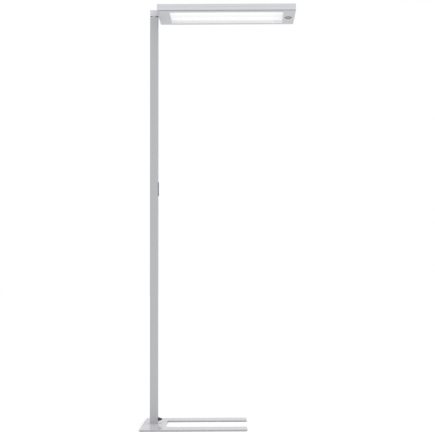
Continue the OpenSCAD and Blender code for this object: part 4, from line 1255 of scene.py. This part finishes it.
class LAMP_OT_lamps(bpy.types.Operator):
    """Bend the twin tubes and finish their bases and holders"""

    bl_idname = "lamp.lamps"
    bl_label = "Lamps"
    bl_options = {"REGISTER", "UNDO"}

    def execute(self, context):
        for side in ("front", "rear"):
            self.glass(side)
            self.base(side)
            self.holder(side)
            softened(f"lamp_clip_{side}", zinc_steel(), 0.2 * MM)
            softened(f"reflector_{side}", reflector_sheet(), 0.1 * MM)
        return {"FINISHED"}

    def glass(self, side):
        """Two tubes with necked feet and domed tips, which follow radius * (1 - s^p)^(1/p) over the last
        radius, and a bridge between them whose radius grows with the cube of the way outwards."""
        low, high = box(f"lamp_tube_{side}")
        centre = (low + high) / 2
        radius = (high[2] - low[2]) / 2
        pitch = high[1] - low[1] - 2 * radius
        neck_length, thin, widening, power = 7 * MM, 3.9 * MM, 2.2 * MM, 2.4
        neck = np.linspace(0, 1, 6)
        swell = 0.93 + 0.07 * neck**2 * (3 - 2 * neck)
        foot = np.stack([low[0] + neck_length * neck, radius * swell], -1)
        s = np.linspace(0, 1, 12)
        tip = np.stack([high[0] - radius * (1 - s), radius * (1 - s**power) ** (1 / power)], -1)
        profile = np.vstack([[[low[0], 0.0]], foot, tip])
        t = np.linspace(-1, 1, 15)
        bridge = np.stack([t * pitch / 2, thin + widening * np.abs(t) ** 3], -1)
        bridge = np.vstack([[[-pitch / 2, 0]], bridge, [[pitch / 2, 0]]])
        shells = [revolved(profile, (0, centre[1] + k * pitch / 2, centre[2]), "X", 40) for k in (-1, 1)]
        shells.append(revolved(bridge, (high[0] - BRIDGE_BACK, centre[1], centre[2]), "Y", 24))
        node = f"lamp_tube_{side}"
        piece(f"twin_tube_{side}", shells, "head", lamp_glass(), (node,), 50)

    def base(self, side):
        """Moulded base with collars round the tubes' feet, grip ribs above and below, and its pins."""
        low, high = box(f"lamp_base_{side}")
        tubes = box(f"lamp_tube_{side}")
        start = box(f"lampholder_{side}")[1][0]
        centre = (low + high) / 2
        radius = (tubes[1][2] - tubes[0][2]) / 2
        pitch = tubes[1][1] - tubes[0][1] - 2 * radius
        outline = rounded_outline(high[1] - low[1], high[2] - low[2], 4 * MM) + centre[1:]
        shells = [extruded(outline, start, high[0], 0.6 * MM)]
        for k in (-1, 1):
            place = (high[0] - 0.2 * MM, centre[1] + k * pitch / 2, centre[2])
            shells.append(ring(place, radius + 0.15 * MM, radius - 0.6 * MM, 1.6 * MM, "X"))
        inset, rise, rib = 13 * MM, 0.35 * MM, 1.5 * MM
        for x in start + (6 + 3.4 * np.arange(5)) * MM:
            for z in (low[2], high[2]):
                near, far = (x, low[1] + inset, z - rise), (x + rib, high[1] - inset, z + rise)
                shells.append(rounded_block(near, far, 0.3 * MM))
        node = f"lamp_base_{side}"
        piece(f"tube_base_{side}", shells, "head", white_plastic(), (node,))
        radius, sunk = 1.2 * MM, 0.5 * MM
        profile = [
            [low[0], 0], [low[0] + 0.4 * MM, 1.0 * MM], [low[0] + 0.8 * MM, radius],
            [start + sunk, radius], [start + sunk, 0],
        ]
        places = centre[1] + np.array([-15, -5, 5, 15]) * MM
        pins = [revolved(profile, (0, y, centre[2]), "X", 20) for y in places]
        piece(f"tube_pins_{side}", pins, "head", terminal_brass())

    def holder(self, side):
        """Lampholder with a stepped front, a release lever and a row of wire inlets on its outer side."""
        way = 1 if side == "rear" else -1
        low, high = box(f"lampholder_{side}")
        centre = (low + high) / 2
        outline = rounded_outline(high[1] - low[1], high[2] - low[2], 1.2 * MM) + centre[1:]
        inner = rounded_outline(high[1] - low[1] - 5 * MM, high[2] - low[2] - 2.4 * MM, 1 * MM) + centre[1:]
        lever = (
            (low[0] + 2 * MM, centre[1] - 6 * MM, high[2] - 0.4 * MM),
            (high[0] - 5 * MM, centre[1] + 6 * MM, high[2] + 0.35 * MM),
        )
        shells = [
            extruded(outline, low[0], high[0] - 2.5 * MM, 0.4 * MM),
            extruded(inner, high[0] - 3 * MM, high[0], 0.3 * MM),
            rounded_block(*lever, 0.3 * MM),
        ]
        outer = high[1] if way > 0 else low[1]
        for x in wire_inlets():
            place = (x, outer - way * 0.2 * MM, centre[2])
            shells.append(ring(place, 1.7 * MM, 0.9 * MM, way * 1.0 * MM, "Y"))
        node = f"lampholder_{side}"
        piece(f"holder_{side}", shells, "head", white_plastic(), (node,))


class LAMP_OT_gear(bpy.types.Operator):
    """Finish the spine with its ballast, terminal block and bracket"""

    bl_idname = "lamp.gear"
    bl_label = "Gear"
    bl_options = {"REGISTER", "UNDO"}

    def execute(self, context):
        softened("gear_spine", inner_coat(), 0.2 * MM)
        softened("arm_bracket", zinc_steel(), 0.3 * MM)
        self.ballast()
        self.terminals()
        self.grommets()
        return {"FINISHED"}

    def ballast(self):
        """Sheet case with two stamped beads and a connector strip at either end, and its tabs' screws."""
        low, high = box("ballast")
        softened("ballast", inner_coat(), 0.5 * MM)
        beads = []
        for first, last in ((0.10, 0.44), (0.56, 0.90)):
            x = low[0] + (high[0] - low[0]) * np.array([first, last])
            near, far = (x[0], -3.5 * MM, high[2] - 0.6 * MM), (x[1], 3.5 * MM, high[2] + 0.45 * MM)
            beads.append(rounded_block(near, far, 0.5 * MM))
        piece("ballast_beads", beads, "head", inner_coat())
        first, last = (corner[0] for corner in box("ballast_screws"))
        radius = 2.75 * MM
        heads = [
            screw_head((x, 0, low[2] + 1.5 * MM), radius, 2.0 * MM, 1.25 * MM, 1.1 * MM)
            for x in (first + radius, last - radius)
        ]
        piece("ballast_screw_heads", heads, "head", zinc_steel(), ("ballast_screws",))
        strips, rings = [], []
        outline = rounded_outline(24 * MM, 9.5 * MM, 0.6 * MM) + [0, low[2] + 9.6 * MM]
        near = (-1, low[0] + TAB, mains_inlets())
        far = (1, high[0] - TAB, lamp_inlets() + sensor_inlets())
        for way, x, inlets in (near, far):
            start, end = sorted((x - way * 0.1 * MM, x + way * STRIP))
            strips.append(extruded(outline, start, end, 0.4 * MM))
            for y, z in inlets:
                place = (x + way * (STRIP - 0.2 * MM), y, z)
                rings.append(ring(place, 1.2 * MM, 0.8 * MM, way * 0.7 * MM, "X"))
        piece("ballast_strips", strips, "head", grey_plastic())
        piece("strip_inlets", rings, "head", white_plastic())

    def terminals(self):
        """Three poles with a pair of clamping screws in their wells, divided by ribs."""
        low, high = box("terminal_block")
        softened("terminal_block", white_plastic(), 0.3 * MM)
        shells, screws = [], []
        for y in pole_places():
            outline = rounded_outline(5.6 * MM, 3 * MM, 0.8 * MM) + [y, high[2]]
            shells.append(extruded(outline, low[0] + 0.8 * MM, high[0] - 0.8 * MM, 0.5 * MM))
            for x in (low[0] + 7 * MM, high[0] - 7 * MM):
                top = high[2] + 1.4 * MM
                shells.append(ring((x, y, top), 2.4 * MM, 1.75 * MM, 1.3 * MM))
                screws.append(screw_head((x, y, top), 1.7 * MM, 0.8 * MM, 0.75 * MM, 0.5 * MM))
            for x, way in ((low[0], -1), (high[0], 1)):
                place = (x - way * 0.1 * MM, y, low[2] + 6 * MM)
                shells.append(ring(place, 2.1 * MM, 1.2 * MM, way * 0.8 * MM, "X"))
        piece("terminal_poles", shells, "head", white_plastic())
        piece("terminal_screws", screws, "head", terminal_brass())

    def grommets(self):
        """Rubber grommets in the spine's floor, where the wires leave it. Their section gives the height
        in millimetres and the radius as a share of the grommet's own."""
        floor = box("ballast")[0][2]
        shells = []
        section = np.array([
            [-0.1, 0], [0.2, 0.62], [1.0, 0.62], [1.5, 0.72], [1.6, 0.86], [1.3, 0.97], [0.8, 1], [0, 1],
        ])
        for x, y, radius in grommet_places():
            shells.append(revolved(section * [MM, radius], (x, y, floor), "Z", 32))
        piece("grommets", shells, "head", black_plastic())


class LAMP_OT_wires(bpy.types.Operator):
    """Lay the single wires between terminals, ballast, lampholders and sensor"""

    bl_idname = "lamp.wires"
    bl_label = "Wires"
    bl_options = {"REGISTER", "UNDO"}

    def execute(self, context):
        self.mains()
        self.lamps()
        self.sensor()
        return {"FINISHED"}

    def mains(self):
        """Three wires from the terminal block to the ballast, sagging a little."""
        radius = details().wire / 2
        start, end = box("terminal_block")[1][0], box("ballast")[0][0] + TAB - STRIP
        height = box("terminal_block")[0][2] + 6 * MM
        names = ("live", "earth", "neutral")
        makers = (wire_brown, wire_green, wire_blue)
        for name, maker, y, (y_end, z_end) in zip(names, makers, pole_places(), mains_inlets()):
            path = smooth_path([
                (start - 1 * MM, y, height), (start + 4 * MM, y, height),
                (start + 10 * MM, 0.65 * y + 0.35 * y_end, height + 0.6 * MM),
                (end - 8 * MM, 0.2 * y + 0.8 * y_end, z_end + 0.8 * MM), (end - 3 * MM, y_end, z_end),
                (end + 1 * MM, y_end, z_end),
            ], 50)
            piece(f"wire_{name}", [tube(path, radius)], "head", maker())
            if name == "earth":
                stripe = tube(path + [0, 0, 0.42 * radius], 0.68 * radius)
                piece("wire_earth_stripe", [stripe], "head", wire_yellow())

    def lamps(self):
        """Four wires for each lamp: out of the ballast's far strip, back over its top in a flat ribbon,
        down past the terminal block, through the spine's floor and up to the lampholder's outer side."""
        radius, pitch = details().wire / 2 * 0.95, details().wire_pitch
        ballast, block, holder = box("ballast"), box("terminal_block"), box("lampholder_rear")
        top, deck = ballast[1][2] + radius + 0.1 * MM, ballast[0][2]
        near, far = ballast[0][0] + TAB, ballast[1][0] - TAB + STRIP
        under = box("bottom_tray")[0][2] + 4.2 * MM
        first_lane = 7.6 * MM
        inlets = lamp_inlets()
        for side, way in (("rear", 1), ("front", -1)):
            x_drop, y_drop = grommet_places()[0 if way > 0 else 1][:2]
            for k in range(4):
                y_out, z_out = inlets[k if way > 0 else 4 + k]
                lane = way * (first_lane + pitch * k)
                pass_y = way * (12.5 * MM + pitch * (k % 2))
                pass_z = deck + 1.2 * MM + pitch * (k // 2)
                down = (x_drop + (k // 2 - 0.5) * 1.6 * MM, y_drop + way * (k % 2 - 0.5) * 1.6 * MM)
                across = x_drop - 7 * MM - 2.2 * MM * k
                x_in, y_in = wire_inlets()[k], way * holder[1][1]
                z_in = (holder[0][2] + holder[1][2]) / 2
                bow = 8 * MM + 0.8 * MM * k
                path = smooth_path([
                    # out of the strip and round
                    (far - 1 * MM, y_out, z_out), (far + 3 * MM, y_out, z_out),
                    (far + bow, (y_out + lane) / 2, z_out + 1.2 * MM),
                    (far + bow - 1 * MM, lane, top - 1.4 * MM), (far + 1 * MM, lane, top + 0.1 * MM),
                    # back over the ballast's top
                    (far - 12 * MM, lane, top), ((near + far) / 2, lane, top), (near + 12 * MM, lane, top),
                    # down past the terminal block
                    (near - 1 * MM, lane, top), (near - 8 * MM, (lane + pass_y) / 2, top - 5 * MM),
                    (near - 17 * MM, pass_y, pass_z + 1 * MM), (block[1][0] - 2 * MM, pass_y, pass_z),
                    (block[0][0] + 4 * MM, pass_y, pass_z),
                    # through the grommet and outwards above the tray
                    (down[0] + 1.2 * MM, down[1], deck + 1.4 * MM), (down[0], down[1], deck - 2 * MM),
                    (down[0] - 3 * MM, down[1] + way * 5 * MM, under + 0.6 * MM),
                    (across, way * 30 * MM, under), (across, way * 50 * MM, under),
                    # up into the lampholder's outer side
                    (x_in, y_in + way * 4 * MM, under + 1 * MM),
                    (x_in, y_in + way * 7.4 * MM, under + 7 * MM),
                    (x_in, y_in + way * 5.4 * MM, z_in - 1 * MM), (x_in, y_in + way * 1 * MM, z_in),
                    (x_in, y_in - way * 0.6 * MM, z_in),
                ], 260)
                maker = wire_light if k % 2 else wire_dark
                piece(f"lamp_wire_{side}_{k + 1}", [tube(path, radius)], "head", maker())
        saddles = []
        outline = rounded_outline(4 * pitch + 0.6 * MM, 2.1 * MM, 0.8 * MM)
        for x in near + (ballast[1][0] - TAB - near) * np.array([0.16, 0.5, 0.84]):
            for way in (1, -1):
                place = [way * (first_lane + 1.5 * pitch), top + 0.1 * MM]
                saddles.append(extruded(outline + place, x, x + 5 * MM, 0.3 * MM))
        piece("wire_saddles", saddles, "head", white_plastic())

    def sensor(self):
        """Three thin wires from the presence sensor, up through the floor and along the spine."""
        radius, pitch = details().wire / 2 * 0.75, details().wire_pitch
        deck, far = box("ballast")[0][2], box("ballast")[1][0] - TAB + STRIP
        board_top = box("sensor_board")[1][2]
        x_hole, y_hole = grommet_places()[2][:2]
        makers = (wire_dark, wire_light, wire_blue)
        for k, ((y_out, z_out), maker) in enumerate(zip(sensor_inlets(), makers)):
            off = (k - 1) * pitch * 0.8
            path = smooth_path([
                # from the board, up through the grommet
                (x_hole + 6 * MM, off, board_top + 0.2 * MM),
                (x_hole + 2 * MM, y_hole + off, board_top + 1.6 * MM),
                (x_hole, y_hole + off, deck + 0.4 * MM), (x_hole - 4 * MM, y_hole + off, deck + 2.6 * MM),
                # along the spine's floor
                (x_hole - 14 * MM, 3 * MM + off, deck + 0.9 * MM),
                (x_hole - 55 * MM, 6 * MM + off, deck + radius),
                (far + 60 * MM, 2 * MM + off, deck + radius), (far + 24 * MM, off, deck + 1.2 * MM),
                # into the strip
                (far + 10 * MM, y_out, z_out - 0.8 * MM), (far + 4 * MM, y_out, z_out),
                (far - 1 * MM, y_out, z_out),
            ], 110)
            piece(f"sensor_wire_{k + 1}", [tube(path, radius, 8)], "head", maker())


class LAMP_OT_rest(bpy.types.Operator):
    """Give every node that still shows the material of its slot"""

    bl_idname = "lamp.rest"
    bl_label = "Remaining nodes"
    bl_options = {"REGISTER", "UNDO"}

    def execute(self, context):
        for node, obj in frame["nodes"].items():
            if not obj.hide_render:
                obj.data.materials.clear()
                obj.data.materials.append(slot_finish(node))
        return {"FINISHED"}


class LAMP_PT_panel(bpy.types.Panel):
    """Sidebar panel with the steps in order"""

    bl_idname = "LAMP_PT_panel"
    bl_label = "Floor lamp"
    bl_space_type = "VIEW_3D"
    bl_region_type = "UI"
    bl_category = "Floor lamp"

    def draw(self, context):
        for step in STEPS:
            self.layout.operator(step.bl_idname)
        for group in (context.scene.lamp_finishes, context.scene.lamp_details, context.scene.lamp_studio):
            column = self.layout.column()
            for key in group.__annotations__:
                column.prop(group, key)


STEPS = (
    LAMP_OT_camera, LAMP_OT_stage, LAMP_OT_base, LAMP_OT_feet, LAMP_OT_pole, LAMP_OT_gland,
    LAMP_OT_switch, LAMP_OT_swivel, LAMP_OT_cap, LAMP_OT_housing, LAMP_OT_sheets, LAMP_OT_sensor,
    LAMP_OT_lamps, LAMP_OT_gear, LAMP_OT_wires, LAMP_OT_rest,
)
GROUPS = {"lamp_finishes": LampFinishes, "lamp_details": LampDetails, "lamp_studio": LampStudio}


def register():
    """Makes the settings, operators and panel known to Blender."""
    for made in (*GROUPS.values(), *STEPS, LAMP_PT_panel):
        bpy.utils.register_class(made)
    for name, group in GROUPS.items():
        setattr(bpy.types.Scene, name, PointerProperty(type=group))


def unregister():
    """Takes them out again."""
    for name in GROUPS:
        delattr(bpy.types.Scene, name)
    for made in reversed((*GROUPS.values(), *STEPS, LAMP_PT_panel)):
        bpy.utils.unregister_class(made)


def main():
    register()
    for step in STEPS:
        group, name = step.bl_idname.split(".")
        getattr(getattr(bpy.ops, group), name)()


if __name__ == "__main__":
    main()
